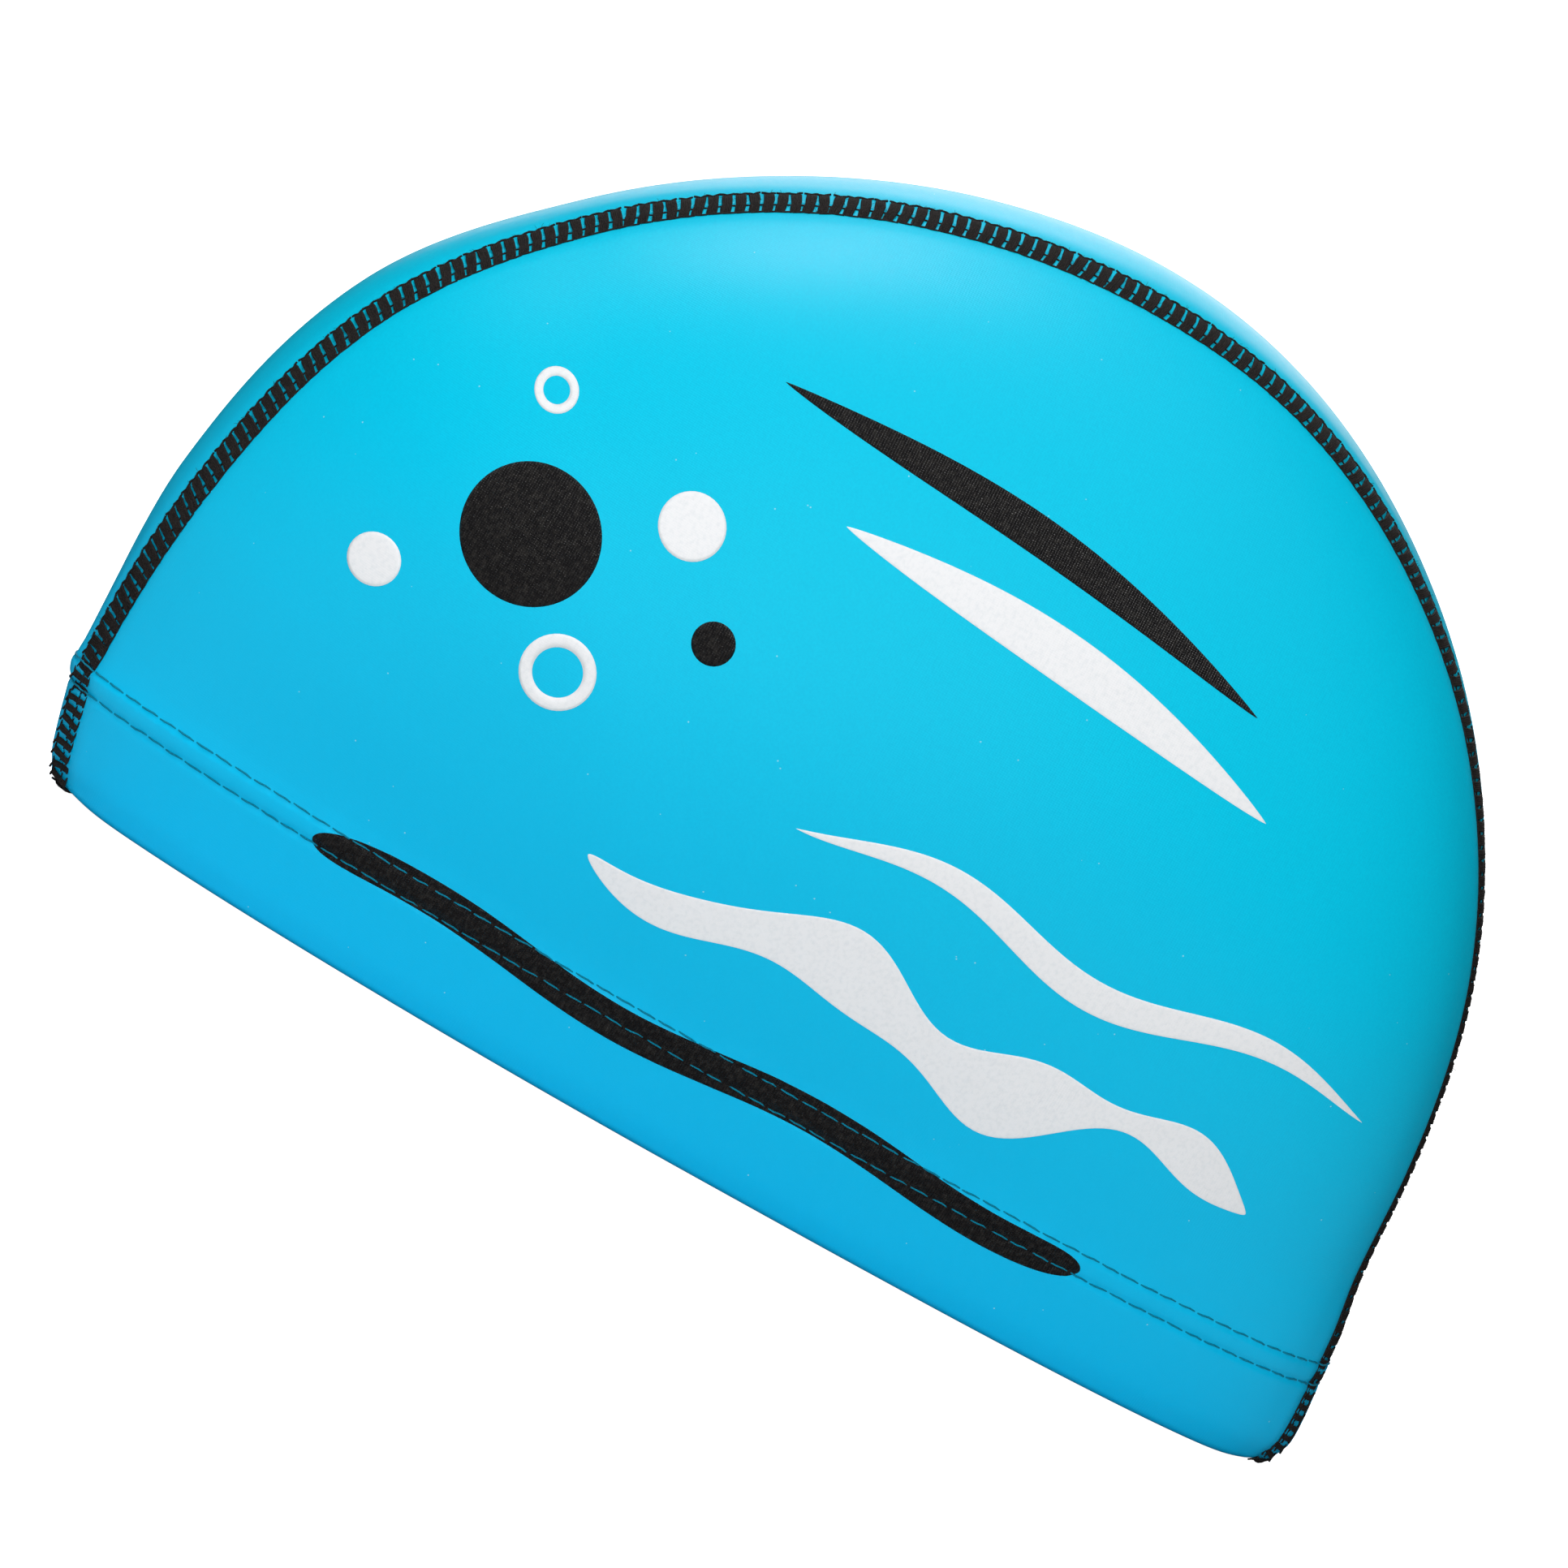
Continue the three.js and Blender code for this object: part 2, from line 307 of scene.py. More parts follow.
    def beside_seam(self, turn: np.ndarray, rise: np.ndarray, sideways: float) -> np.ndarray:
        """Swings that lie a distance from the seam line, towards the right ear if positive."""
        middle, step = self.seam_swing(turn, rise), 0.002
        apart = self.skin(turn, rise, middle + step) - self.skin(turn, rise, middle - step)
        return middle + sideways * 2 * step / np.linalg.norm(apart, axis=-1)

    def relief(self, y: np.ndarray, z: np.ndarray) -> np.ndarray:
        """How far the sewn cloth stands out of the plain skin.

        The folded hem is padded, the needle rows sink in it, and it puckers a little at them.
        """
        low, high = self.needle_rows
        padding = self.hem_swell * (1 - ease(z, high - 0.2, high + 1.6)) * ease(z, 0, 4)
        rows = self.row_depth * (bell(z - low, self.row_width) + bell(z - high, self.row_width))
        pucker = np.sin(y / 2.1 + 1.5 * np.sin(y / 9)) * np.sin(y / 5.3 + 1)
        near_rows = bell(z - (low + high) / 2, 4.5)
        soft = self.softness * np.sin(y / 17 + z / 31 + 1) * np.sin(z / 19 - y / 43)
        return padding - rows + self.pucker * pucker * near_rows + soft * ease(z, 14, 40)

    def corner_rise(self, points: np.ndarray) -> np.ndarray:
        """How far the rim lifts where the bulk of the seam turns under it."""
        turns = np.array([0.0, HALF_TURN])
        ends = self.skin(turns, np.zeros(2), self.seam_swing(turns, np.zeros(2)))
        lift = np.zeros(points.shape[:-1])
        for end in ends:
            lift += bell(np.hypot(points[..., 0] - end[0], points[..., 1] - end[1]), 6)
        return self.corner_lift * lift * (1 - ease(points[..., 2], 0, 9))

    def cloth_lengths(self, points: np.ndarray) -> np.ndarray:
        """Where points lie on the flat cloth: along it from the ear line, and up from the rim."""
        steps = np.sin(np.linspace(0, HALF_TURN / 2, 25))
        y, z = points[..., 1:2] - self.forward, points[..., 2:3]
        level = y * steps + self.forward
        out = self.side_x(level, z)
        along = np.hypot(np.diff(level), np.diff(out)).sum(axis=-1) * np.sign(y[..., 0])
        climb = z * steps
        out = self.side_x(y + self.forward, climb)
        up = np.hypot(np.diff(climb), np.diff(out)).sum(axis=-1)
        return np.stack([along, up], axis=-1)


def mesh_object(
    name: str,
    points: np.ndarray,
    faces: Sequence[Sequence[int]],
    finishes: Sequence[bpy.types.Material],
    slots: np.ndarray | None = None,
    lengths: np.ndarray | None = None,
) -> bpy.types.Object:
    """Makes a smooth closed mesh of points in millimetres and links it to the scene.

    Args:
        name: Name of the object and its mesh.
        points: Corners in millimetres.
        faces: Corner numbers of each face, anticlockwise from outside.
        finishes: Materials of the object.
        slots: Material number of each face.
        lengths: Place of each corner on the flat cloth in millimetres, for the weave.

    Returns:
        The object, with its place in its mesh.
    """
    mesh = bpy.data.meshes.new(name)
    mesh.from_pydata((points * MM).tolist(), [], [list(face) for face in faces])
    for finish in finishes:
        mesh.materials.append(finish)
    if slots is not None:
        mesh.polygons.foreach_set("material_index", slots)
    if lengths is not None:
        corners = np.empty(len(mesh.loops), dtype=np.int32)
        mesh.loops.foreach_get("vertex_index", corners)
        weave = mesh.uv_layers.new(name=WEAVE_MAP)
        weave.data.foreach_set("uv", (lengths[corners] * MM).ravel())
    work = bmesh.new()
    work.from_mesh(mesh)
    bmesh.ops.remove_doubles(work, verts=work.verts, dist=0.002 * MM)
    work.to_mesh(mesh)
    work.free()
    mesh.shade_smooth()
    piece = bpy.data.objects.new(name, mesh)
    bpy.context.scene.collection.objects.link(piece)
    return piece


def line_object(name: str, lines: Iterable[np.ndarray], facts: dict[str, np.ndarray]) -> bpy.types.Object:
    """Makes a mesh of open lines in millimetres, with facts about each point as attributes."""
    lines = list(lines)
    mesh = bpy.data.meshes.new(name)
    edges = []
    start = 0
    for line in lines:
        edges += [(k, k + 1) for k in range(start, start + len(line) - 1)]
        start += len(line)
    mesh.from_pydata((np.concatenate(lines) * MM).tolist(), edges, [])
    for fact, values in facts.items():
        vector = values.ndim == 2
        attribute = mesh.attributes.new(fact, "FLOAT_VECTOR" if vector else "FLOAT", "POINT")
        attribute.data.foreach_set("vector" if vector else "value", values.astype(float).ravel())
    piece = bpy.data.objects.new(name, mesh)
    bpy.context.scene.collection.objects.link(piece)
    return piece


def settled(piece: bpy.types.Object) -> bpy.types.Object:
    """Turns the result of a piece's modifiers into its plain mesh."""
    depsgraph = bpy.context.evaluated_depsgraph_get()
    mesh = bpy.data.meshes.new_from_object(piece.evaluated_get(depsgraph), depsgraph=depsgraph)
    mesh.name = piece.name
    piece.modifiers.clear()
    piece.data = mesh
    return piece


def report(piece: bpy.types.Object) -> None:
    """Logs a finished piece and its number of triangles."""
    piece.data.calc_loop_triangles()
    log.info("%s: %d triangles", piece.name, len(piece.data.loop_triangles))


class NodeTree:
    """A node tree under construction, with short calls for its nodes and links."""

    def __init__(self, tree: bpy.types.NodeTree) -> None:
        """Works on a tree that exists."""
        self.tree = tree

    def feed(self, node: bpy.types.Node, inputs: dict[str | int, Any]) -> None:
        """Sets a node's inputs, by name or number, to values or to other nodes' outputs."""
        for key, value in inputs.items():
            if isinstance(key, int):
                socket = node.inputs[key]
            else:
                socket = next(s for s in node.inputs if s.name == key and s.enabled)
            if isinstance(value, bpy.types.NodeSocket):
                self.tree.links.new(value, socket)
            else:
                socket.default_value = value

    def add(
        self, kind: str, inputs: dict[str | int, Any] | None = None, output: str = "", **settings: Any
    ) -> bpy.types.NodeSocket:
        """Adds a node and returns its first output, or the one that output names."""
        node = self.tree.nodes.new(kind)
        for name, value in settings.items():
            setattr(node, name, value)
        self.feed(node, inputs or {})
        return next(s for s in node.outputs if s.enabled and output in ("", s.name))

    def sum(self, operation: str, *values: Any) -> bpy.types.NodeSocket:
        """Adds a Math node."""
        return self.add("ShaderNodeMath", dict(enumerate(values)), operation=operation)

    def blend(self, share: Any, first: Any, second: Any) -> bpy.types.NodeSocket:
        """Adds a mix of two colours."""
        return self.add("ShaderNodeMix", {0: share, 6: first, 7: second}, data_type="RGBA", output="Result")

    def noise(self, scale: float, detail: float = 2.0) -> bpy.types.NodeSocket:
        """Adds noise on object coordinates, with scale in features per metre."""
        place = self.add("ShaderNodeTexCoord", output="Object")
        inputs = {"Vector": place, "Scale": scale, "Detail": detail}
        return self.add("ShaderNodeTexNoise", inputs, output="Fac")

    def remap(
        self, value: Any, low: float, high: float, first: float = 0.0, last: float = 1.0
    ) -> bpy.types.NodeSocket:
        """Adds a clamped change of range, from low to high into from first to last."""
        inputs = {"Value": value, "From Min": low, "From Max": high, "To Min": first, "To Max": last}
        return self.add("ShaderNodeMapRange", inputs)

    def fact(self, name: str, kind: str = "FLOAT_VECTOR") -> bpy.types.NodeSocket:
        """Adds the reading of a fact about each point."""
        return self.add("GeometryNodeInputNamedAttribute", {"Name": name}, data_type=kind)

    def end(self, geometry: bpy.types.NodeSocket, finish: bpy.types.NodeSocket) -> None:
        """Ends a Geometry Nodes tree with plain geometry in its finish."""
        plain = self.add("GeometryNodeRealizeInstances", {0: geometry})
        done = self.add("GeometryNodeSetMaterial", {"Geometry": plain, "Material": finish})
        self.feed(self.tree.nodes.new("NodeGroupOutput"), {0: done})


def new_material(name: str) -> tuple[bpy.types.Material, NodeTree, bpy.types.Node]:
    """Makes a material and returns it with its tree and its shader."""
    material = bpy.data.materials.new(name)
    material.use_nodes = True
    return material, NodeTree(material.node_tree), material.node_tree.nodes["Principled BSDF"]


def new_geometry_tree(name: str, inputs: dict[str, str]) -> tuple[NodeTree, bpy.types.NodeOutputs]:
    """Makes a Geometry Nodes tree that takes and gives geometry.

    Args:
        name: Name of the tree.
        inputs: Kind of socket of each further input, by its name.

    Returns:
        The tree under construction, and what its inputs give.
    """
    tree = bpy.data.node_groups.new(name, "GeometryNodeTree")
    for label, kind in {"Geometry": "Geometry", **inputs}.items():
        tree.interface.new_socket(label, in_out="INPUT", socket_type=f"NodeSocket{kind}")
    tree.interface.new_socket("Geometry", in_out="OUTPUT", socket_type="NodeSocketGeometry")
    return NodeTree(tree), tree.nodes.new("NodeGroupInput").outputs


@dataclass(frozen=True)
class KnitRelief:
    """Fine raised pattern of a knit, by its place on the flat cloth."""

    wale: float = 0.38
    course: float = 0.31
    depth: float = 0.03
    grain: float = 0.35
    needle_rows: tuple[float, ...] = ()
    stitch: float = 3.2

    def normal(self, nodes: NodeTree, strength: float) -> bpy.types.NodeSocket:
        """Adds the nodes of the relief.

        Args:
            nodes: Tree that they go in.
            strength: Strength of the bump.

        Returns:
            The bumped normal.
        """
        weave = nodes.add("ShaderNodeUVMap", uv_map=WEAVE_MAP)
        split = nodes.add("ShaderNodeSeparateXYZ", {"Vector": weave}).node
        along, up = split.outputs["X"], split.outputs["Y"]
        drift = nodes.sum("MULTIPLY", nodes.noise(220, 1), 1.3)
        ribs = nodes.sum("MULTIPLY_ADD", along, math.pi / (self.wale * MM), drift)
        loops = nodes.sum("MULTIPLY_ADD", up, math.pi / (self.course * MM), drift)
        wales = nodes.sum("ABSOLUTE", nodes.sum("SINE", ribs))
        courses = nodes.sum("ABSOLUTE", nodes.sum("SINE", loops))
        knit = nodes.sum("MULTIPLY_ADD", courses, 0.45, wales)
        fine = nodes.noise(1000 / self.grain, 2)
        height = nodes.sum("MULTIPLY_ADD", fine, 1.2, knit)
        for row in self.needle_rows:
            height = nodes.sum("SUBTRACT", height, self._pricks(nodes, along, up, row))
        inputs = {"Strength": strength, "Distance": self.depth * MM, "Height": height}
        return nodes.add("ShaderNodeBump", inputs)

    def _pricks(
        self, nodes: NodeTree, along: bpy.types.NodeSocket, up: bpy.types.NodeSocket, row: float
    ) -> bpy.types.NodeSocket:
        """Depth of the needle pricks along one row."""
        away = nodes.sum("DIVIDE", nodes.sum("SUBTRACT", up, row * MM), 0.35 * MM)
        across = nodes.sum("EXPONENT", nodes.sum("MULTIPLY", nodes.sum("MULTIPLY", away, away), -1.0))
        phase = nodes.sum("COSINE", nodes.sum("MULTIPLY", along, 2 * math.pi / (self.stitch * MM)))
        pricks = nodes.sum("POWER", nodes.sum("MULTIPLY_ADD", phase, 0.5, 0.5), 6.0)
        return nodes.sum("MULTIPLY", nodes.sum("MULTIPLY", across, pricks), 6.0)


@dataclass(frozen=True)
class CoatedKnit:
    """Coloured knit with or without a thin soft coat over it."""

    name: str
    colour: Colour
    deep: Colour
    # Painted shade: colour the cloth turns to towards the rim, standing in for the hue of the shaded lower
    # cloth.
    low: Colour
    pale: Colour
    relief: KnitRelief
    bump: float
    roughness: float
    refraction: float
    sheen: float
    sheen_roughness: float
    flecks: float = 1.0
    # Height above which no painted shade is mixed in.
    painted_shade_height: float = 80.0
    gloss_spread: float = 0.06

    def make(self) -> bpy.types.Material:
        """Makes the material: a fine grain, slight broad changes, painted shade low down and a few pale
        flecks.
        """
        material, nodes, shader = new_material(self.name)
        grain = nodes.remap(nodes.noise(2600, 3), 0.35, 0.65)
        base = nodes.blend(grain, self.deep, self.colour)
        broad = nodes.remap(nodes.noise(28, 2), 0.3, 0.7, 0.0, 0.35)
        base = nodes.blend(broad, base, self.deep)
        place = nodes.add("ShaderNodeTexCoord", output="Object")
        height = nodes.add("ShaderNodeSeparateXYZ", {"Vector": place}, output="Z")
        # Painted shade: the colour turns to the low colour from this height down to the rim.
        lower = nodes.remap(height, 0.0, self.painted_shade_height * MM, 1.0, 0.0)
        base = nodes.blend(lower, base, self.low)
        cell = nodes.add("ShaderNodeTexVoronoi", {"Vector": place, "Scale": 620.0}).node
        near = nodes.sum("LESS_THAN", cell.outputs["Distance"], 0.07)
        pick = nodes.add("ShaderNodeSeparateColor", {0: cell.outputs["Color"]})
        chosen = nodes.sum("GREATER_THAN", pick, 0.93)
        fleck = nodes.sum("MULTIPLY", nodes.sum("MULTIPLY", near, chosen), 0.55 * self.flecks)
        base = nodes.blend(fleck, base, self.pale)
        least, most = self.roughness - self.gloss_spread, self.roughness + self.gloss_spread
        gloss = nodes.remap(nodes.noise(900, 2), 0.0, 1.0, least, most)
        nodes.feed(
            shader,
            {
                "Base Color": base,
                "Roughness": gloss,
                "IOR": self.refraction,
                "Sheen Weight": self.sheen,
                "Sheen Roughness": self.sheen_roughness,
                "Sheen Tint": self.pale,
                "Normal": self.relief.normal(nodes, self.bump),
            },
        )
        return material


@dataclass(frozen=True)
class Thread:
    """Sewing thread, spun or woolly, with a fibrous surface."""

    name: str
    colour: Colour
    fibre: Colour
    roughness: float
    sheen: float
    bump: float

    def make(self) -> bpy.types.Material:
        """Makes the material, with fine fibres in its colour and in its relief."""
        material, nodes, shader = new_material(self.name)
        fibres = nodes.noise(7000, 3)
        share = nodes.remap(fibres, 0.4, 0.75)
        relief = nodes.add("ShaderNodeBump", {"Strength": self.bump, "Distance": 0.03 * MM, "Height": fibres})
        nodes.feed(
            shader,
            {
                "Base Color": nodes.blend(share, self.colour, self.fibre),
                "Roughness": self.roughness,
                "IOR": 1.3,
                "Sheen Weight": self.sheen,
                "Sheen Roughness": 0.6,
                "Sheen Tint": self.fibre,
                "Normal": relief,
            },
        )
        return material


@dataclass(frozen=True)
class Ink:
    """Rubbery print that follows the knit below it."""

    name: str
    colour: Colour
    # Colour of random patches: the lighter patches on the black ink are painted sheen of its ridges; on the
    # white ink they are a slightly darker tone.
    patch_colour: Colour
    roughness: float
    refraction: float
    bump: float
    gloss_spread: float = 0.1
    knit: KnitRelief = KnitRelief(depth=0.1)

    def make(self) -> bpy.types.Material:
        """Makes the material, with patches of another tone (painted sheen on the black ink) and the knit
        pressed through.
        """
        material, nodes, shader = new_material(self.name)
        # Patches of the patch colour, which on the black ink are painted sheen.
        tone = nodes.remap(nodes.noise(1600, 3), 0.45, 0.8)
        least, most = self.roughness - self.gloss_spread, self.roughness + self.gloss_spread
        gloss = nodes.remap(nodes.noise(400, 3), 0.0, 1.0, least, most)
        nodes.feed(
            shader,
            {
                "Base Color": nodes.blend(tone, self.colour, self.patch_colour),
                "Roughness": gloss,
                "IOR": self.refraction,
                "Normal": self.knit.normal(nodes, self.bump),
            },
        )
        return material


@dataclass(frozen=True)
class Panel:
    """One of the two cloth panels, with its folded hem."""

    side: Side
    form: CapForm
    fabric: float = 1.2
    seam_gap: float = 0.06
    cut_edge: float = 16.6
    core_rows: int = 72
    ring_rows: int = 26
    core_share: float = 0.55

    @property
    def name(self) -> str:
        """Name of the piece."""
        return f"{self.side.name.lower()}_cloth"

    def _turns(self) -> np.ndarray:
        """Turns of the rows of quads that start from the seam."""
        rows = self.core_rows
        rising = np.arcsin(np.arange(rows) / rows / math.sqrt(2))
        over = np.arccos(-np.arange(-rows, rows + 1) / rows / math.sqrt(2))
        return np.concatenate([rising, over, HALF_TURN - rising[::-1]])

    def _crown(self) -> tuple[np.ndarray, np.ndarray, np.ndarray, list[tuple[int, int, int, int]]]:
        """Turns, shares to the seam and quads above the hem, and the corners of its lower edge."""
        turns = self._turns()
        rows, columns, count = self.core_rows, 2 * self.core_rows, len(turns)
        shares = 1 - (1 - self.core_share) * np.linspace(0, 1, self.ring_rows) ** 1.25
        turn = list(np.tile(turns, len(shares)))
        share = list(np.repeat(shares, count))
        faces = []
        for a in range(len(shares) - 1):
            for k in range(count - 1):
                outer, inner = a * count + k, (a + 1) * count + k
                faces.append((inner, inner + 1, outer + 1, outer))
        innermost = (len(shares) - 1) * count
        middle = len(turn)
        for i in range(1, columns):
            for j in range(rows):
                u, v = i / rows - 1, j / rows
                along, up = u * math.sqrt(1 - v * v / 2), v * math.sqrt(1 - u * u / 2)
                turn.append(math.atan2(up, -along))
                share.append(self.core_share * math.hypot(along, up))

        def core(i: int, j: int) -> int:
            """Corner in column i and row j of the square middle."""
            if i == 0:
                return innermost + j
            if i == columns:
                return innermost + count - 1 - j
            if j == rows:
                return innermost + rows + i
            return middle + (i - 1) * rows + j

        for i in range(columns):
            for j in range(rows):
                faces.append((core(i, j), core(i + 1, j), core(i + 1, j + 1), core(i, j + 1)))
        edge = [a * count for a in range(len(shares))]
        edge += [core(i, 0) for i in range(1, columns)]
        edge += [a * count + count - 1 for a in reversed(range(len(shares)))]
        return np.array(turn), np.array(share), np.array(edge), faces

    def _hem_rows(self) -> np.ndarray:
        """Heights and insets of the rows down the hem, with the round of the fold at the rim."""
        low, _ = self.form.needle_rows
        radius = self.fabric
        heights = np.concatenate([np.arange(16.7, low - 1.4, -0.3), np.arange(low - 1.7, 2.2, -0.95)])
        bend = np.linspace(0, HALF_TURN / 2, 8)
        straight = np.stack([heights, np.zeros_like(heights)], axis=1)
        fold = np.stack([radius * (1 - np.sin(bend)), radius * (1 - np.cos(bend))], axis=1)
        return np.concatenate([straight, fold])

    def make(self, outer: bpy.types.Material, inner: bpy.types.Material) -> bpy.types.Object:
        """Builds the panel.

        Args:
            outer: Finish of the outer face.
            inner: Finish of the inner face.

        Returns:
            The panel as one closed mesh, its outer face first.
        """
        form = self.form
        turn, share, edge, faces = self._crown()
        rise, inset = np.ones_like(turn), np.zeros_like(turn)
        upper = edge
        for height, inward in self._hem_rows():
            lower = np.arange(len(turn), len(turn) + len(edge))
            turn, share = np.append(turn, turn[edge]), np.append(share, share[edge])
            rise = np.append(rise, np.full(len(edge), height / form.hem_height))
            inset = np.append(inset, np.full(len(edge), inward))
            faces += list(zip(upper[:-1], lower[:-1], lower[1:], upper[1:]))
            upper = lower
        cut = form.beside_seam(turn, rise, -self.side.value * self.seam_gap)
        swing = share * cut if self.side is Side.LEFT else HALF_TURN - share * (HALF_TURN - cut)
        skin = form.skin(turn, rise, swing)
        out = form.outward(skin)
        y, z = skin[:, 1], skin[:, 2]
        to_seam = np.linalg.norm(skin - form.skin(turn, rise, form.seam_swing(turn, rise)), axis=1)
        dip = 0.2 * bell(to_seam, 2.4) - 0.12 * bell(to_seam - 3.6, 1.3)
        raised = (form.relief(y, z) - dip) * ease(inset, self.fabric, 0)
        doubled = 1 - ease(z, self.cut_edge - 0.35, self.cut_edge + 0.35)
        thick = self.fabric * (1 + doubled)
        lift = np.zeros_like(skin)
        lift[:, 2] = form.corner_rise(skin)
        outside = skin + out * (raised - inset)[:, None] + lift
        inside = skin - out * (thick - inset - raised * 0.6)[:, None] + lift
        sheet = np.array(faces)
        if self.side is Side.RIGHT:
            sheet = sheet[:, ::-1]
        quads = closed_quads(sheet, len(skin))
        slots = np.repeat([0, 1, 0], [len(sheet), len(sheet), len(quads) - 2 * len(sheet)])
        points, weave = np.concatenate([outside, inside]), np.tile(form.cloth_lengths(skin), (2, 1))
        return mesh_object(self.name, points, quads.tolist(), (outer, inner), slots, weave)


@dataclass(frozen=True)
class StitchTree:
    """Geometry Nodes that lay a stitch on each point of a path and turn its strands into thread."""

    name: str
    sides: int = 6
    wool_size: float = 4200.0

    def build(self) -> bpy.types.NodeTree:
        """Builds the tree, with its sizes as named inputs."""
        inputs = {
            "Stitch": "Object",
            "Tilt": "Float",
            "Wander": "Float",
            "Wander size": "Float",
            "Wool": "Float",
            "Seed": "Int",
            "Finish": "Material",
        }
        nodes, given = new_geometry_tree(self.name, inputs)
        turned = self._turned(nodes, given)
        size = nodes.fact("size")
        stitch = nodes.add("GeometryNodeObjectInfo", {"Object": given["Stitch"]}, output="Geometry")
        laid = nodes.add(
            "GeometryNodeInstanceOnPoints",
            {"Points": given["Geometry"], "Instance": stitch, "Rotation": turned, "Scale": size},
        )
        lines = nodes.add("GeometryNodeRealizeInstances", {0: laid})
        strands = nodes.add("GeometryNodeMeshToCurve", {"Mesh": lines})
        strands = self._moved(nodes, strands, given["Wander"], given["Wander size"])
        thickness = nodes.fact("thickness", "FLOAT")
        ring = nodes.add("GeometryNodeCurvePrimitiveCircle", {"Resolution": self.sides, "Radius": 1.0})
        thread = nodes.add(
            "GeometryNodeCurveToMesh",
            {"Curve": strands, "Profile Curve": ring, "Scale": thickness, "Fill Caps": True},
        )
        thread = self._moved(nodes, thread, given["Wool"], self.wool_size)
        nodes.end(nodes.add("GeometryNodeSetShadeSmooth", {0: thread}), given["Finish"])
        return nodes.tree

    @staticmethod
    def _turned(nodes: NodeTree, given: bpy.types.NodeOutputs) -> bpy.types.NodeSocket:
        """Turn of each stitch: along the path, upright on the cloth and a little askew."""
        out = nodes.fact("out")
        straight = nodes.add(
            "FunctionNodeAxesToRotation",
            {"Primary Axis": out, "Secondary Axis": nodes.fact("along")},
            primary_axis="Z",
            secondary_axis="X",
        )
        least = nodes.sum("MULTIPLY", given["Tilt"], -1.0)
        limits = {"Min": least, "Max": given["Tilt"], "Seed": given["Seed"]}
        spin = nodes.add("ShaderNodeCombineXYZ", {"Z": nodes.add("FunctionNodeRandomValue", limits)})
        askew = nodes.add("FunctionNodeEulerToRotation", {"Euler": spin})
        return nodes.add(
            "FunctionNodeRotateRotation", {"Rotation": straight, "Rotate By": askew}, rotation_space="LOCAL"
        )

    @staticmethod
    def _moved(
        nodes: NodeTree, geometry: bpy.types.NodeSocket, distance: Any, size: Any
    ) -> bpy.types.NodeSocket:
        """Moves points by soft noise of a distance, with size in features per metre."""
        inputs = {"Vector": nodes.add("GeometryNodeInputPosition"), "Scale": size, "Detail": 1.0}
        noise = nodes.add("ShaderNodeTexNoise", inputs, output="Color")
        centred = nodes.add("ShaderNodeVectorMath", {0: noise, 1: (0.5, 0.5, 0.5)}, operation="SUBTRACT")
        offset = nodes.add("ShaderNodeVectorMath", {0: centred, "Scale": distance}, operation="SCALE")
        return nodes.add("GeometryNodeSetPosition", {"Geometry": geometry, "Offset": offset})


@dataclass(frozen=True)
class FuzzTree:
    """Geometry Nodes that grow short bent fibres on a thread."""

    name: str

    def build(self) -> bpy.types.NodeTree:
        """Builds the tree, with its sizes as named inputs."""
        inputs = {
            "Fibres per square metre": "Float",
            "Fibre length": "Float",
            "Fibre radius": "Float",
            "Seed": "Int",
            "Finish": "Material",
        }
        nodes, given = new_geometry_tree(self.name, inputs)
        points = nodes.add(
            "GeometryNodeDistributePointsOnFaces",
            {"Mesh": given["Geometry"], "Density": given["Fibres per square metre"], "Seed": given["Seed"]},
        )
        bend = {
            "Resolution": 3,
            "Start": (0, 0, -0.2),
            "Start Handle": (0, 0, 0.4),
            "End Handle": (0.3, 0, 0.8),
            "End": (0.9, 0, 0.9),
        }
        fibre = nodes.add("GeometryNodeCurvePrimitiveBezierSegment", bend, mode="POSITION")
        lean = nodes.add(
            "FunctionNodeRandomValue",
            {"Min": (-0.7, -0.7, 0.0), "Max": (0.7, 0.7, 6.28), "Seed": given["Seed"]},
            data_type="FLOAT_VECTOR",
        )
        turned = nodes.add(
            "FunctionNodeRotateRotation",
            {
                "Rotation": points.node.outputs["Rotation"],
                "Rotate By": nodes.add("FunctionNodeEulerToRotation", {"Euler": lean}),
            },
            rotation_space="LOCAL",
        )
        length = nodes.add("FunctionNodeRandomValue", {"Min": 0.35, "Max": 1.0, "Seed": given["Seed"]})
        laid = nodes.add(
            "GeometryNodeInstanceOnPoints",
            {
                "Points": points,
                "Instance": fibre,
                "Rotation": turned,
                "Scale": nodes.sum("MULTIPLY", length, given["Fibre length"]),
            },
        )
        curves = nodes.add("GeometryNodeRealizeInstances", {0: laid})
        ring = nodes.add("GeometryNodeCurvePrimitiveCircle", {"Resolution": 3, "Radius": 1.0})
        fuzz = nodes.add(
            "GeometryNodeCurveToMesh",
            {"Curve": curves, "Profile Curve": ring, "Scale": given["Fibre radius"], "Fill Caps": True},
        )
        nodes.end(fuzz, given["Finish"])
        return nodes.tree


def run_nodes(
    piece: bpy.types.Object, tree: bpy.types.NodeTree, values: dict[str, Any]
) -> bpy.types.Object:
    """Puts a piece through a tree and keeps the result as its plain mesh.

    Args:
        piece: Object that the tree starts from.
        tree: Geometry Nodes tree.
        values: Value of each named input.

    Returns:
        The piece.
    """
    modifier = piece.modifiers.new(tree.name, "NODES")
    modifier.node_group = tree
    for socket in tree.interface.items_tree:
        if socket.in_out == "INPUT" and socket.name in values:
            modifier[socket.identifier] = values[socket.name]
    return settled(piece)


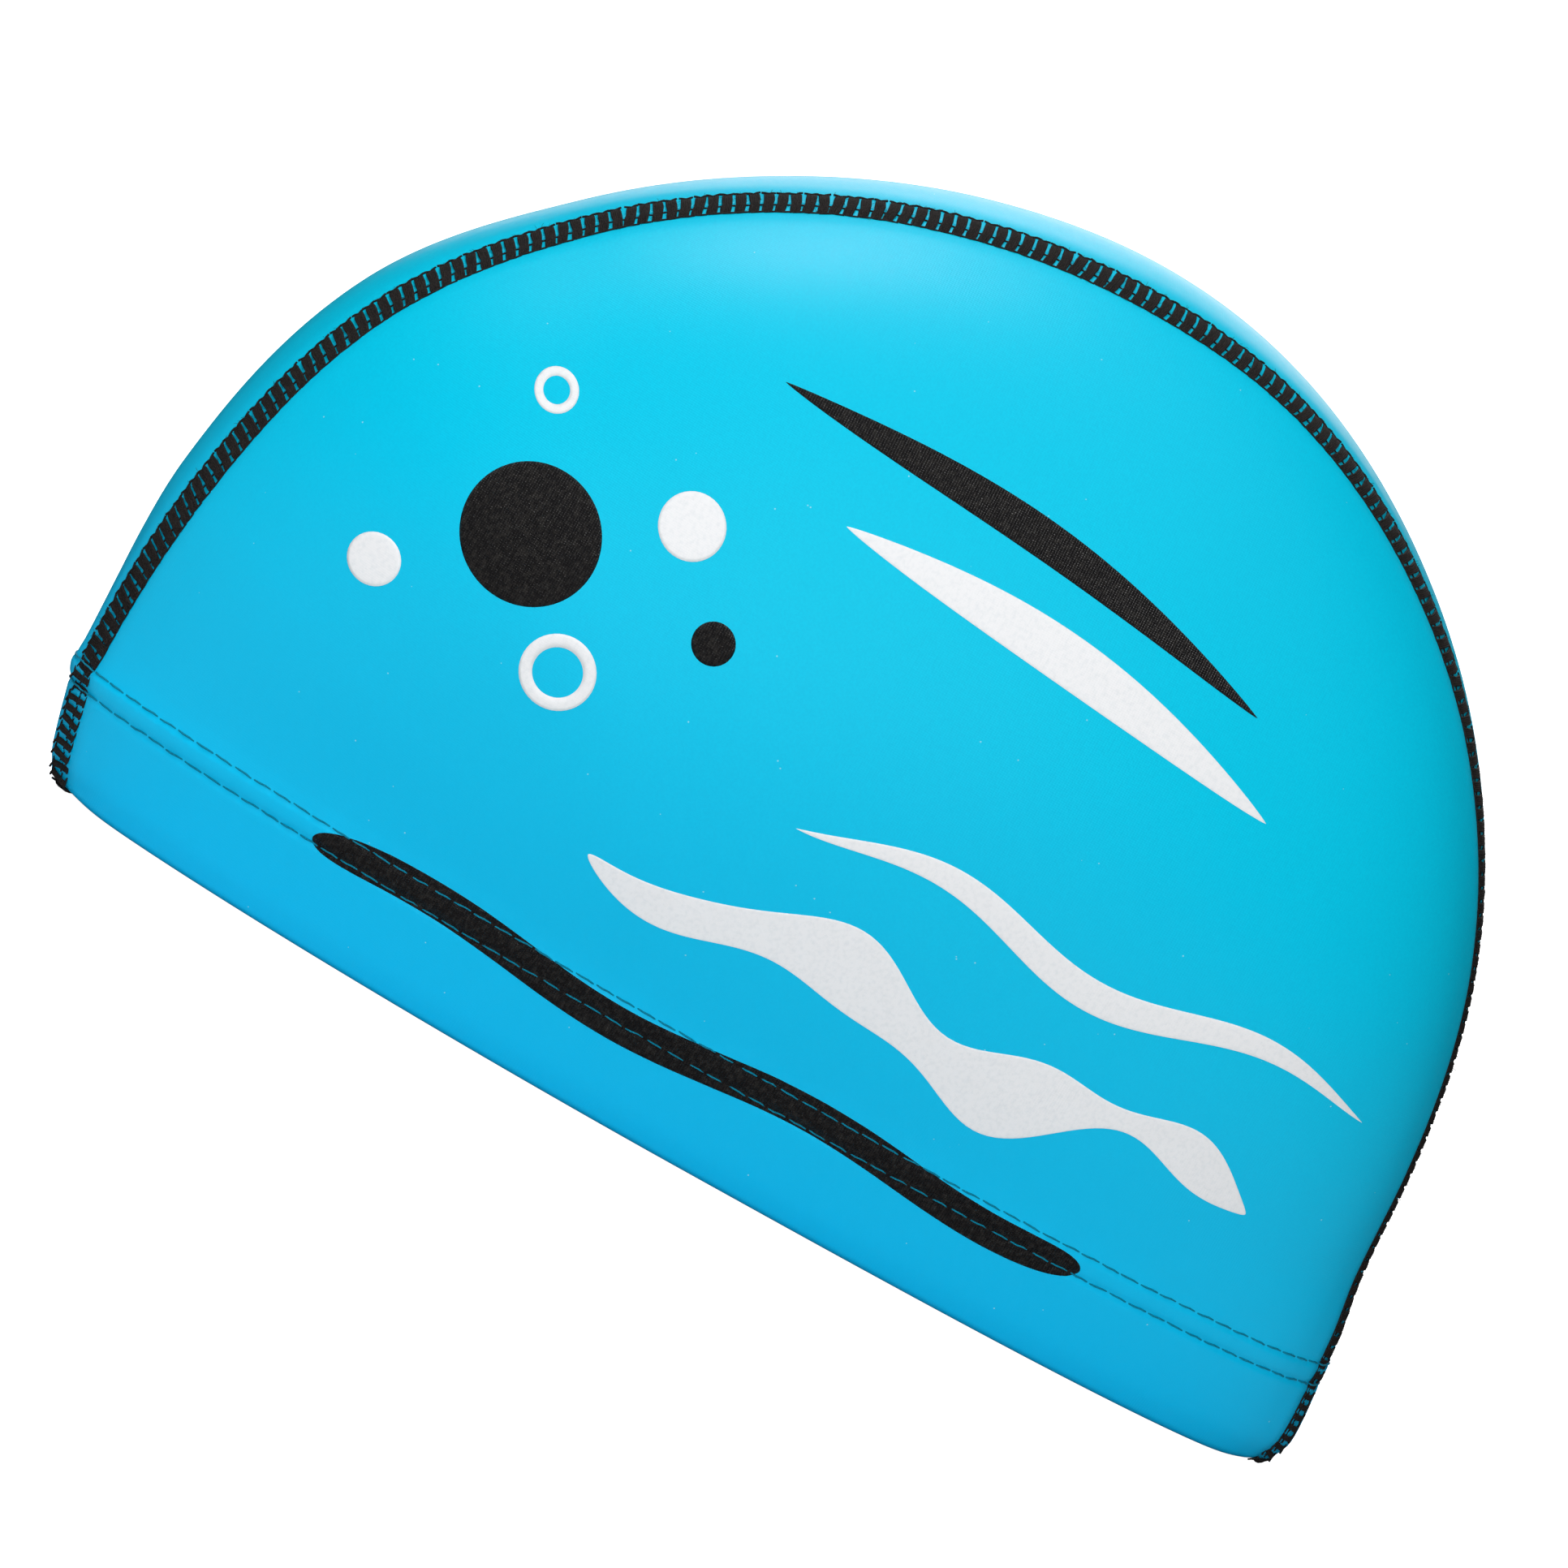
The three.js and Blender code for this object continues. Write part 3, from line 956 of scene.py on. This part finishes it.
@dataclass(frozen=True)
class Path:
    """Places on the cap where stitches go: points, directions along and out, and stitch sizes."""

    points: np.ndarray
    along: np.ndarray
    out: np.ndarray
    size: np.ndarray

    @classmethod
    def on_line(cls, points: np.ndarray, out: np.ndarray, at: np.ndarray, size: np.ndarray) -> "Path":
        """Places on a finely spaced line.

        Args:
            points: Points of the line.
            out: Direction out of the cap at each point.
            at: Distance of each place along the line.
            size: Stitch size at each place.

        Returns:
            The path.
        """
        run = distances(points)

        def between(values: np.ndarray) -> np.ndarray:
            """Values of the line at the places."""
            return np.stack([np.interp(at, run, values[:, axis]) for axis in range(3)], axis=1)

        direction = unit(np.gradient(points, run, axis=0))
        return cls(between(points), unit(between(direction)), unit(between(out)), size)

    def where(self, chosen: np.ndarray) -> "Path":
        """The chosen places of the path."""
        return Path(self.points[chosen], self.along[chosen], self.out[chosen], self.size[chosen])

    def as_object(self, name: str) -> bpy.types.Object:
        """The path as a mesh of loose points with their directions."""
        facts = {"along": self.along, "out": self.out, "size": self.size}
        return line_object(name, [self.points[k : k + 1] for k in range(len(self.points))], facts)


def stitch_object(name: str, strands: Sequence[Strand]) -> bpy.types.Object:
    """Pattern of one stitch: lines of (along, aside, up, radius) in millimetres."""
    thickness = np.array([point[3] for strand in strands for point in strand]) * MM
    lines = [np.array(strand)[:, :3] for strand in strands]
    return line_object(name, lines, {"thickness": thickness})


@dataclass(frozen=True)
class Sewing:
    """How a thread lies: degrees that its stitches turn, and how far they and its skin stray."""

    tilt: float
    wander: float
    wander_size: float
    wool: float
    seed: int
    sides: int = 6

    def make(
        self, name: str, path: Path, strands: Sequence[Strand], finish: bpy.types.Material
    ) -> bpy.types.Object:
        """Lays a stitch on each place of a path.

        Args:
            name: Name of the piece.
            path: Where the stitches go.
            strands: Strands of one stitch.
            finish: Material of the thread.

        Returns:
            The sewn thread as one mesh.
        """
        pattern = stitch_object(f"{name}_pattern", strands)
        values = {
            "Stitch": pattern,
            "Tilt": math.radians(self.tilt),
            "Wander": self.wander * MM,
            "Wander size": self.wander_size,
            "Wool": self.wool * MM,
            "Seed": self.seed,
            "Finish": finish,
        }
        tree = StitchTree(f"{name}_nodes", sides=self.sides).build()
        piece = run_nodes(path.as_object(name), tree, values)
        bpy.data.objects.remove(pattern)
        return piece


@dataclass(frozen=True)
class OverlockSeam:
    """Flat overlocked seam of woolly thread, from under the rim in front to under it at the back.

    A bar has a width along the seam and a slant, how far it leans to the front on its way to the
    far rail. Both are smaller in the hem, where the stitch is more open.
    """

    form: CapForm
    pitch: float = 1.88
    hem_pitch: float = 1.62
    fold_radius: float = Panel.fabric
    half_width: float = 2.05
    strand: float = 0.2
    needle_line: float = -0.45
    bar: tuple[float, float] = (1.5, 0.5)
    hem_bar: tuple[float, float] = (0.95, 0.3)
    hem_drop: float = 1.0
    sewing: Sewing = Sewing(tilt=6, wander=0.26, wander_size=750.0, wool=0.1, seed=4)

    def _centre_line(self) -> tuple[np.ndarray, np.ndarray]:
        """Points and outward directions of the seam, finely spaced."""
        form = self.form
        bend = np.linspace(math.radians(105), 0, 24)
        over = np.linspace(0, HALF_TURN, 900)[1:-1]
        up = np.linspace(self.fold_radius / form.hem_height, 1, 60)[1:]
        turn = np.concatenate([np.zeros(len(up)), over, np.full(len(up), HALF_TURN)])
        rise = np.concatenate([up, np.ones(len(over)), up[::-1]])
        skin = form.skin(turn, rise, form.seam_swing(turn, rise))
        out = form.outward(skin)
        line = skin + out * (form.relief(skin[:, 1], skin[:, 2]) - 0.2)[:, None]
        ends = []
        for at in (0.0, HALF_TURN):
            rises = self.fold_radius * (1 - np.sin(bend)) / form.hem_height
            turns = np.full_like(bend, at)
            edge = form.skin(turns, rises, form.seam_swing(turns, rises))
            level = form.outward(edge)
            inset = self.fold_radius * (1 - np.cos(bend))
            fold_out = level * np.cos(bend)[:, None] - np.array([0, 0, 1]) * np.sin(bend)[:, None]
            ends.append((edge - level * inset[:, None], fold_out))
        (front, front_out), (back, back_out) = ends
        points = np.concatenate([front, line, back[::-1]])
        points[:, 2] += form.corner_rise(points)
        return points, np.concatenate([front_out, out, back_out[::-1]])

    def path(self) -> Path:
        """Where the stitches of the outer face go."""
        points, out = self._centre_line()
        run = distances(points)
        places, sizes = [0.3], []
        low, high = self.form.needle_rows
        while places[-1] < run[-1] - 0.3:
            z = float(np.interp(places[-1], run, points[:, 2]))
            pitch = self.hem_pitch + (self.pitch - self.hem_pitch) * float(ease(np.array(z), 12, 22))
            pinch = float(bell(np.array(z - low), 0.9) + bell(np.array(z - high), 0.9))
            sizes.append((pitch / self.pitch, 1 - 0.22 * pinch, 1 - 0.25 * pinch))
            places.append(places[-1] + pitch)
        return Path.on_line(points, out, np.array(places[:-1]), np.array(sizes))

    def _bars(self, width: float, slant: float) -> list[Strand]:
        """Strands of one bar, side by side from the near rail to the far rail."""
        edge, thick = self.half_width, self.strand
        strands = []
        for offset in np.linspace(-0.5, 0.5, 5):
            f = float(offset) * (width - 2 * thick)
            strands.append(
                [
                    (f, edge, 0.02, thick * 0.8),
                    (f - 0.02 * slant, edge * 0.72, 0.3, thick),
                    (f - 0.15 * slant, edge * 0.25, 0.4, thick * 1.05),
                    (f * 0.9 - 0.35 * slant, self.needle_line, 0.36, thick),
                    (f - 0.8 * slant, -edge * 0.65, 0.34, thick * 1.05),
                    (f - 1.25 * slant, -edge * 1.02, 0.02, thick * 0.8),
                ]
            )
        return strands

    def outer_stitch(self, bar_width: float, slant: float) -> list[Strand]:
        """Strands of one stitch on the outer face: a bar, two rails and the needle thread.

        Args:
            bar_width: Width of the bar along the seam.
            slant: How far the bar leans to the front on its way to the far rail.

        Returns:
            The strands. The near rail bows outwards beside the windows between two bars.
        """
        step, edge = self.pitch / 2, self.half_width
        near = [
            (-step, edge + 0.3, 0.1, 0.16),
            (-step / 2, edge + 0.14, 0.14, 0.17),
            (0.0, edge - 0.16, 0.2, 0.18),
            (step / 2, edge + 0.14, 0.14, 0.17),
            (step, edge + 0.3, 0.1, 0.16),
        ]
        far = [(-step, -edge, 0.1, 0.14), (0.0, -edge - 0.04, 0.14, 0.15), (step, -edge, 0.1, 0.14)]
        needle = [
            (-step, self.needle_line, 0.06, 0.12),
            (0.0, self.needle_line - 0.05, 0.2, 0.12),
            (step, self.needle_line, 0.06, 0.12),
        ]
        return [near, far, needle, *self._bars(bar_width, slant)]

    def inner_path(self, fabric: float) -> Path:
        """Where the stitches of the inner face go, under cloth that is double in the hem."""
        outer = self.path()
        height = outer.points[:, 2]
        depth = fabric * (2 - ease(height, self.form.hem_height - 1, self.form.hem_height + 1)) - 0.15
        kept = height > 2 * fabric
        inner = outer.points - outer.out * depth[:, None]
        return Path(inner, outer.along, -outer.out, outer.size).where(kept)

    def inner_stitch(self) -> list[Strand]:
        """Strands of one stitch on the inner face: a plain ladder of two rails and slanting loops."""
        step, edge = self.pitch / 2, self.half_width - 0.2
        rails = [
            [(-step, w, 0.12, 0.15), (0.0, w * 1.05, 0.16, 0.15), (step, w, 0.12, 0.15)]
            for w in (edge, -edge)
        ]
        rungs = [
            [(f, edge, 0.1, 0.16), (f - 0.2, 0.3, 0.3, 0.18), (f - 0.5, -edge, 0.1, 0.16)]
            for f in (-0.2, 0.15)
        ]
        return [*rails, *rungs]

    def fuzz(self, thread: bpy.types.Object, finish: bpy.types.Material) -> bpy.types.Object:
        """Grows the loose fibres of the woolly thread."""
        piece = thread.copy()
        piece.data = thread.data.copy()
        piece.name = "seam_fuzz"
        bpy.context.scene.collection.objects.link(piece)
        values = {
            "Fibres per square metre": 5.0e5,
            "Fibre length": 0.5 * MM,
            "Fibre radius": 0.022 * MM,
            "Seed": 11,
            "Finish": finish,
        }
        return run_nodes(piece, FuzzTree("fuzz_nodes").build(), values)


@dataclass(frozen=True)
class HemStitching:
    """Two needle rows round the hem, and the looper thread that covers its cut edge inside."""

    form: CapForm
    stitch: float = KnitRelief.stitch
    thread: float = 0.13
    seam_clearance: float = 0.5
    looper_depth: float = 2.5
    sewing: Sewing = Sewing(tilt=3, wander=0.25, wander_size=420.0, wool=0.05, seed=7, sides=5)

    def _row(self, height: float, depth: float) -> Path:
        """Places round the whole hem at one height, at a depth under the outer face."""
        form = self.form
        swing = np.linspace(0, HALF_TURN, 700)
        rise = np.full(2 * len(swing) - 2, height / form.hem_height)
        turn = np.where(np.arange(len(rise)) < len(swing), 0.0, HALF_TURN)
        ring = form.skin(turn, rise, np.concatenate([swing, swing[-2:0:-1]]))
        out = form.outward(ring)
        seam = form.seam_swing(turn, rise)
        to_seam = np.linalg.norm(ring - form.skin(turn, rise, seam), axis=1)
        raised = form.relief(ring[:, 1], ring[:, 2]) + self.seam_clearance * bell(to_seam, 2.6)
        ring = ring + out * (raised - depth)[:, None]
        ring = np.concatenate([ring, ring[:1]])
        out = np.concatenate([out, out[:1]])
        around = distances(ring)[-1]
        count = round(around / self.stitch)
        at = (np.arange(count) + 0.5) * around / count
        size = np.tile([around / count / self.stitch, 1.0, 1.0], (count, 1))
        return Path.on_line(ring, out, at, size)

    def rows(self, finish: bpy.types.Material) -> bpy.types.Object:
        """Builds the two needle rows on the outer face."""
        half, thick = self.stitch / 2, self.thread
        stitch = [
            [
                (-half * 1.02, 0.05, -0.3, thick * 0.7),
                (-half * 0.8, 0.02, 0.02, thick),
                (-half * 0.3, -0.04, 0.1, thick * 1.1),
                (half * 0.3, 0.03, 0.1, thick * 1.1),
                (half * 0.8, 0.0, 0.02, thick),
                (half * 1.02, -0.05, -0.3, thick * 0.7),
            ]
        ]
        paths = [self._row(height, 0.0) for height in self.form.needle_rows]
        parts = ([getattr(path, part) for path in paths] for part in Path.__annotations__)
        whole = Path(*map(np.concatenate, parts))
        return self.sewing.make("hem_thread", whole, stitch, finish)

    def looper(self, finish: bpy.types.Material) -> bpy.types.Object:
        """Builds the thread that zigzags between the rows on the inner face."""
        half, thick = self.stitch / 2, self.thread * 1.3
        low, high = self.form.needle_rows
        reach = (high - low) / 2
        zigzag = [
            [
                (-half, -reach, -0.15, thick),
                (-half * 0.5, -reach * 0.2, -0.3, thick),
                (0.0, reach, -0.15, thick),
                (half * 0.5, reach * 0.2, -0.3, thick),
                (half, -reach, -0.15, thick),
            ],
            [(-half, reach, -0.12, thick), (0.0, reach * 1.04, -0.2, thick), (half, reach, -0.12, thick)],
            [(-half, -reach, -0.12, thick), (0.0, -reach * 1.04, -0.2, thick), (half, -reach, -0.12, thick)],
        ]
        path = self._row((low + high) / 2, self.looper_depth)
        return self.sewing.make("hem_looper", path, zigzag, finish)


class InkColour(Enum):
    """The two inks of the print, by the name of their piece."""

    WHITE = "print_white"
    BLACK = "print_black"


Line = Callable[[np.ndarray], np.ndarray]


@dataclass(frozen=True)
class Swash:
    """Printed band between two ends, round a middle line, with a half width at each share of it."""

    ink: InkColour
    start: float
    end: float
    middle: Line
    half_width: Line
    rows: int = 13
    spacing: float = 0.7

    def lattice(self) -> tuple[np.ndarray, np.ndarray, bool]:
        """Places in the side view, their distance from the band's edge, and whether it closes."""
        columns = int((self.end - self.start) / self.spacing)
        share = (1 - np.cos(np.linspace(0, HALF_TURN, columns))) / 2
        y = self.start + (self.end - self.start) * share
        across = np.sin(np.linspace(-HALF_TURN / 2, HALF_TURN / 2, self.rows))
        half = self.half_width(share)
        z = self.middle(y)[:, None] + half[:, None] * across
        places = np.stack([np.broadcast_to(y[:, None], z.shape), z], axis=-1)
        return places, half[:, None] * (1 - np.abs(across)), False


@dataclass(frozen=True)
class Bubble:
    """Printed disc, or a ring if it has a hole."""

    ink: InkColour
    along: float
    up: float
    radius: float
    hole: float = 0.0

    def lattice(self) -> tuple[np.ndarray, np.ndarray, bool]:
        """Places in the side view, their distance from the edge, and whether it closes."""
        around = np.linspace(0, 2 * HALF_TURN, max(36, int(self.radius * 9)), endpoint=False)
        steps = max(4, int((self.radius - self.hole) / 0.6))
        out = self.hole + (self.radius - self.hole) * (1 - (1 - np.linspace(0, 1, steps)) ** 1.3)
        places = np.stack(
            [
                self.along + out[None, :] * np.cos(around)[:, None],
                self.up + out[None, :] * np.sin(around)[:, None],
            ],
            axis=-1,
        )
        border = self.radius - out if self.hole == 0 else np.minimum(self.radius - out, out - self.hole)
        return places, np.broadcast_to(border, places.shape[:2]), True


@dataclass(frozen=True)
class Print:
    """Generic print of waves, streaks and bubbles on the left panel."""

    form: CapForm
    proud: float = 0.09
    root: float = 0.12
    edge: float = 0.18

    @staticmethod
    def motifs() -> list[Swash | Bubble]:
        """The printed shapes, by their place in the side view."""
        white, black = InkColour.WHITE, InkColour.BLACK

        def blunt(width: float) -> Line:
            """Even width with round ends."""
            return lambda t: width * np.maximum(0, 1 - np.abs(2 * t - 1) ** 16) ** 0.5

        def tapered(width: float, power: float = 0.8) -> Line:
            """Width that runs out to both ends."""
            return lambda t: width * np.sin(HALF_TURN * t) ** power

        return [
            Swash(black, -62, 58, lambda y: 14.9 + 1.1 * np.sin(y / 9.5), blunt(2.5), rows=17, spacing=0.6),
            Swash(
                white,
                -30,
                74,
                lambda y: 34 + 3.0 * np.sin(y / 8.3 + 1),
                lambda t: (4.6 + 3.2 * np.sin(t * 22) * t) * np.sin(HALF_TURN * t) ** 0.55,
                rows=31,
            ),
            Swash(white, -8, 82, lambda y: 52 + 2.4 * np.sin(y / 8.3), tapered(2.3)),
            Swash(black, -38, 40, lambda y: 97 - 0.12 * y + 3.2 * np.sin((y + 30) / 24), tapered(2.6)),
            Swash(white, -22, 48, lambda y: 86 - 0.12 * y + 3.2 * np.sin((y + 20) / 24), tapered(3.4)),
            Bubble(black, -58, 66, 9.5),
            Bubble(white, -40, 78, 4.6),
            Bubble(white, -74, 52, 3.6),
            Bubble(white, -46, 52, 5.2, 3.4),
            Bubble(black, -30, 66, 3.0),
            Bubble(white, -64, 84, 3.0, 1.8),
        ]

    def make(self, ink: InkColour, finish: bpy.types.Material) -> bpy.types.Object:
        """Builds the film of one ink, as thin closed shapes that follow the cloth."""
        points, faces, lengths = [], [], []
        start = 0
        for motif in self.motifs():
            if motif.ink is not ink:
                continue
            film, quads, laid = self._film(*motif.lattice())
            points.append(film)
            faces += (quads + start).tolist()
            lengths.append(laid)
            start += len(film)
        film, weave = np.concatenate(points), np.concatenate(lengths)
        return mesh_object(ink.value, film, faces, (finish,), lengths=weave)

    def _film(
        self, places: np.ndarray, border: np.ndarray, closes: bool
    ) -> tuple[np.ndarray, np.ndarray, np.ndarray]:
        """Corners, quads and cloth lengths of one shape."""
        form = self.form
        y, z = places[..., 0], places[..., 1]
        skin = np.stack([form.side_x(y, z), y, z], axis=-1)
        out = form.outward(skin)
        rise = form.relief(y, z)
        top = skin + out * (rise + self.proud * ease(border, -0.05, self.edge))[..., None]
        bottom = skin + out * (rise - self.root)[..., None]
        columns, rows = y.shape
        steps = columns if closes else columns - 1
        a, b = np.meshgrid(np.arange(steps), np.arange(rows - 1), indexing="ij")

        def number(column: np.ndarray, row: np.ndarray) -> np.ndarray:
            """Number of a corner of the lattice."""
            return (column % columns) * rows + row

        sheet = np.stack([number(a, b), number(a + 1, b), number(a + 1, b + 1), number(a, b + 1)], axis=-1)
        sheet = sheet.reshape(-1, 4)
        if closes:
            sheet = sheet[:, ::-1]
        corners = np.concatenate([top.reshape(-1, 3), bottom.reshape(-1, 3)])
        weave = np.tile(form.cloth_lengths(skin).reshape(-1, 2), (2, 1))
        return corners, closed_quads(sheet, columns * rows), weave


@dataclass(frozen=True)
class PhotoCamera:
    """Camera at the photograph's angle, framed by the two ends of the rim."""

    azimuth: float = 81.0
    elevation: float = 7.0
    distance: float = 2000.0
    looks_at_height: float = 68.0
    picture: float = 1932.0
    front_end: complex = 59 + 959j
    back_end: complex = 1558 + 1792j
    sensor: float = 36.0

    def make(self, form: CapForm) -> bpy.types.Object:
        """Makes the camera: its aim, roll and lens bring the ends of the rim to their two pixels."""
        ends = form.skin(np.array([0.0, HALF_TURN]), np.zeros(2), np.full(2, HALF_TURN / 2))
        points = [Vector(end) for end in ends]
        turn, tip = math.radians(self.azimuth), math.radians(self.elevation)
        back = Vector((math.sin(turn) * math.cos(tip), -math.cos(turn) * math.cos(tip), math.sin(tip)))
        aim = Vector((0, 0, self.looks_at_height))
        place = aim + back * self.distance
        lens, roll = 300.0, 0.0
        wanted = (self.front_end, self.back_end)
        for _ in range(40):
            seen = self._seen(points, self._axes(place, aim, roll), place, lens)
            turned = (wanted[1] - wanted[0]) / (seen[1] - seen[0])
            lens *= abs(turned)
            roll += cmath.phase(turned)
            axes = self._axes(place, aim, roll)
            seen = self._seen(points, axes, place, lens)
            miss = (sum(wanted) - sum(seen)) / 2
            size = self.distance / (lens / self.sensor * self.picture)
            aim = aim - axes.col[0] * miss.real * size + axes.col[1] * miss.imag * size
        data = bpy.data.cameras.new("photo_camera")
        data.lens, data.sensor_width = lens, self.sensor
        data.clip_start, data.clip_end = 0.1, 60
        camera = bpy.data.objects.new("photo_camera", data)
        camera.matrix_world = Matrix.Translation(place * MM) @ self._axes(place, aim, roll).to_4x4()
        bpy.context.scene.collection.objects.link(camera)
        bpy.context.scene.camera = camera
        log.info("camera: lens %.1f, roll %.2f degrees", lens, math.degrees(roll))
        return camera

    @staticmethod
    def _axes(place: Vector, aim: Vector, roll: float) -> Matrix:
        """Right, up and back of a camera, as the columns of a matrix."""
        back = (place - aim).normalized()
        right = Vector((0, 0, 1)).cross(back).normalized()
        up = back.cross(right)
        turned = right * math.cos(roll) + up * math.sin(roll)
        return Matrix((turned, back.cross(turned), back)).transposed()

    def _seen(self, points: Sequence[Vector], axes: Matrix, place: Vector, lens: float) -> list[complex]:
        """Pixels that points come to, x across and y down."""
        pixels = []
        for point in points:
            x, y, z = axes.transposed() @ (point - place)
            scale = lens / self.sensor * self.picture / -z
            pixels.append(complex(self.picture / 2 + x * scale, self.picture / 2 - y * scale))
        return pixels


@dataclass(frozen=True)
class SoftLight:
    """Square soft light in metres and watts."""

    name: str
    place: tuple[float, float, float]
    size: float
    power: float
    mirrored: bool = True

    def make(self, aim: Vector) -> None:
        """Makes the light, hidden from glossy rays unless it is mirrored."""
        data = bpy.data.lights.new(self.name, "AREA")
        data.size, data.energy = self.size, self.power
        light = bpy.data.objects.new(self.name, data)
        light.location = self.place
        light.rotation_mode = "QUATERNION"
        light.rotation_quaternion = (Vector(self.place) - aim).to_track_quat("Z", "Y")
        light.visible_glossy = self.mirrored
        bpy.context.scene.collection.objects.link(light)


@dataclass(frozen=True)
class Studio:
    """White floor, even white surroundings and soft lights.

    The floor and the surroundings are at full white where the camera sees them and light the cap
    more weakly. They are hidden from glossy rays, and so are the lights that are not mirrored.
    """

    floor_radius: float = 9.0
    floor_tone: float = 0.6
    seen_white: float = 1.0
    sky: float = 0.05
    aim_height: float = 0.08
    lights: tuple[SoftLight, ...] = (
        SoftLight("camera_light", (2.1, -0.3, 0.45), 1.6, 40.0, mirrored=False),
        SoftLight("fill_light", (1.2, 0.3, 2.2), 2.4, 9.0, mirrored=False),
        SoftLight("top_light", (0.24, -0.58, 1.38), 0.6, 9.0),
        SoftLight("crown_light", (-0.9, -0.2, 1.25), 0.7, 3.5),
        SoftLight("back_light", (-2.4, 0.08, 1.2), 1.8, 22.0),
        SoftLight("far_side_light", (-2.0, 0.7, 0.7), 1.6, 16.0, mirrored=False),
    )

    def make(self) -> None:
        """Sets up the floor, the surroundings, the lights and the plain colour view."""
        self._floor()
        self._world()
        for light in self.lights:
            light.make(Vector((0, 0, self.aim_height)))
        bpy.context.scene.view_settings.view_transform = "Standard"

    def _floor(self) -> None:
        """Round floor, white to the camera."""
        around = np.linspace(0, 2 * HALF_TURN, 96, endpoint=False)
        rim = np.stack([np.cos(around), np.sin(around), np.zeros_like(around)], axis=1)
        material, nodes, shader = new_material("floor_white")
        seen = nodes.add("ShaderNodeLightPath", output="Is Camera Ray")
        nodes.feed(
            shader,
            {
                "Base Color": (self.floor_tone, self.floor_tone, self.floor_tone, 1),
                "Roughness": 0.8,
                "Emission Color": (1, 1, 1, 1),
                "Emission Strength": nodes.sum("MULTIPLY", seen, self.seen_white),
            },
        )
        floor = mesh_object("floor", rim * self.floor_radius / MM, [range(96)], (material,))
        floor.visible_glossy = False

    def _world(self) -> None:
        """White surroundings."""
        world = bpy.data.worlds.new("studio")
        world.use_nodes = True
        nodes = NodeTree(world.node_tree)
        background = world.node_tree.nodes["Background"]
        seen = nodes.add("ShaderNodeLightPath", output="Is Camera Ray")
        strength = nodes.add("ShaderNodeMix", {0: seen, 2: self.sky, 3: self.seen_white}, output="Result")
        nodes.feed(background, {"Color": (1, 1, 1, 1), "Strength": strength})
        world.cycles_visibility.glossy = False
        bpy.context.scene.world = world


@dataclass(frozen=True)
class Finishes:
    """All finishes of the cap."""

    coated: CoatedKnit = field(
        default_factory=lambda: CoatedKnit(
            name="coated_knit",
            colour=srgb(0, 200, 232),
            deep=srgb(0, 194, 228),
            # painted shade tone towards the rim
            low=srgb(0, 190, 242),
            pale=srgb(190, 232, 242),
            relief=KnitRelief(needle_rows=CapForm.needle_rows),
            bump=0.25,
            roughness=0.37,
            refraction=1.38,
            sheen=0.0,
            sheen_roughness=0.2,
        )
    )
    bare: CoatedKnit = field(
        default_factory=lambda: CoatedKnit(
            name="bare_knit",
            colour=srgb(60, 176, 206),
            deep=srgb(24, 140, 176),
            # painted shade tone towards the rim
            low=srgb(40, 156, 190),
            pale=srgb(170, 215, 228),
            relief=KnitRelief(depth=0.09, grain=0.5),
            bump=0.6,
            roughness=0.85,
            refraction=1.3,
            sheen=0.4,
            sheen_roughness=0.6,
            flecks=0.5,
        )
    )
    overlock: Thread = Thread("overlock_thread", srgb(20, 19, 20), srgb(58, 54, 52), 0.85, 0.25, 0.5)
    hem: Thread = Thread("hem_thread", srgb(0, 112, 140), srgb(20, 150, 178), 0.7, 0.1, 0.4)
    white: Ink = Ink("white_print", srgb(238, 239, 241), srgb(228, 231, 234), 0.6, 1.35, 0.12)
    # lighter patches of the black ink are painted sheen
    black: Ink = Ink("black_print", srgb(30, 29, 30), srgb(52, 50, 48), 0.36, 1.5, 1.0)


def fit(piece: bpy.types.Object, replaces: str = "") -> bpy.types.Object:
    """Puts a finished piece on the cap's body and reports it.

    Args:
        piece: The piece.
        replaces: CAD node that it stands for.

    Returns:
        The piece.
    """
    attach(piece, BODY)
    if replaces:
        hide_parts(replaces)
    report(piece)
    return piece


def main() -> None:
    """Builds the camera, the cap and the studio."""
    logging.basicConfig(level=logging.INFO, format="%(message)s")
    form = CapForm.in_frame()
    log.info("form moved %.2f mm along Y", form.forward)
    PhotoCamera().make(form)
    finishes = Finishes()

    coated, bare = finishes.coated.make(), finishes.bare.make()
    for side in Side:
        cloth = fit(Panel(side, form).make(coated, bare), f"{side.name.lower()}_panel")

    seam = OverlockSeam(form)
    black_thread = finishes.overlock.make()
    path = seam.path()
    in_hem = path.points[:, 2] < form.hem_height - seam.hem_drop
    sew = seam.sewing.make
    outer = sew("seam_thread", path.where(~in_hem), seam.outer_stitch(*seam.bar), black_thread)
    fit(outer, "seam_band")
    ends = sew("seam_ends", path.where(in_hem), seam.outer_stitch(*seam.hem_bar), black_thread)
    fit(ends)
    fit(seam.fuzz(outer, black_thread))
    ladder = sew("seam_ladder", seam.inner_path(Panel.fabric), seam.inner_stitch(), black_thread)
    fit(ladder)

    hem = HemStitching(form)
    teal_thread = finishes.hem.make()
    fit(hem.rows(teal_thread))
    fit(hem.looper(teal_thread))

    print_work = Print(form)
    fit(print_work.make(InkColour.WHITE, finishes.white.make()))
    fit(print_work.make(InkColour.BLACK, finishes.black.make()))

    Studio().make()


if __name__ == "__main__":
    main()
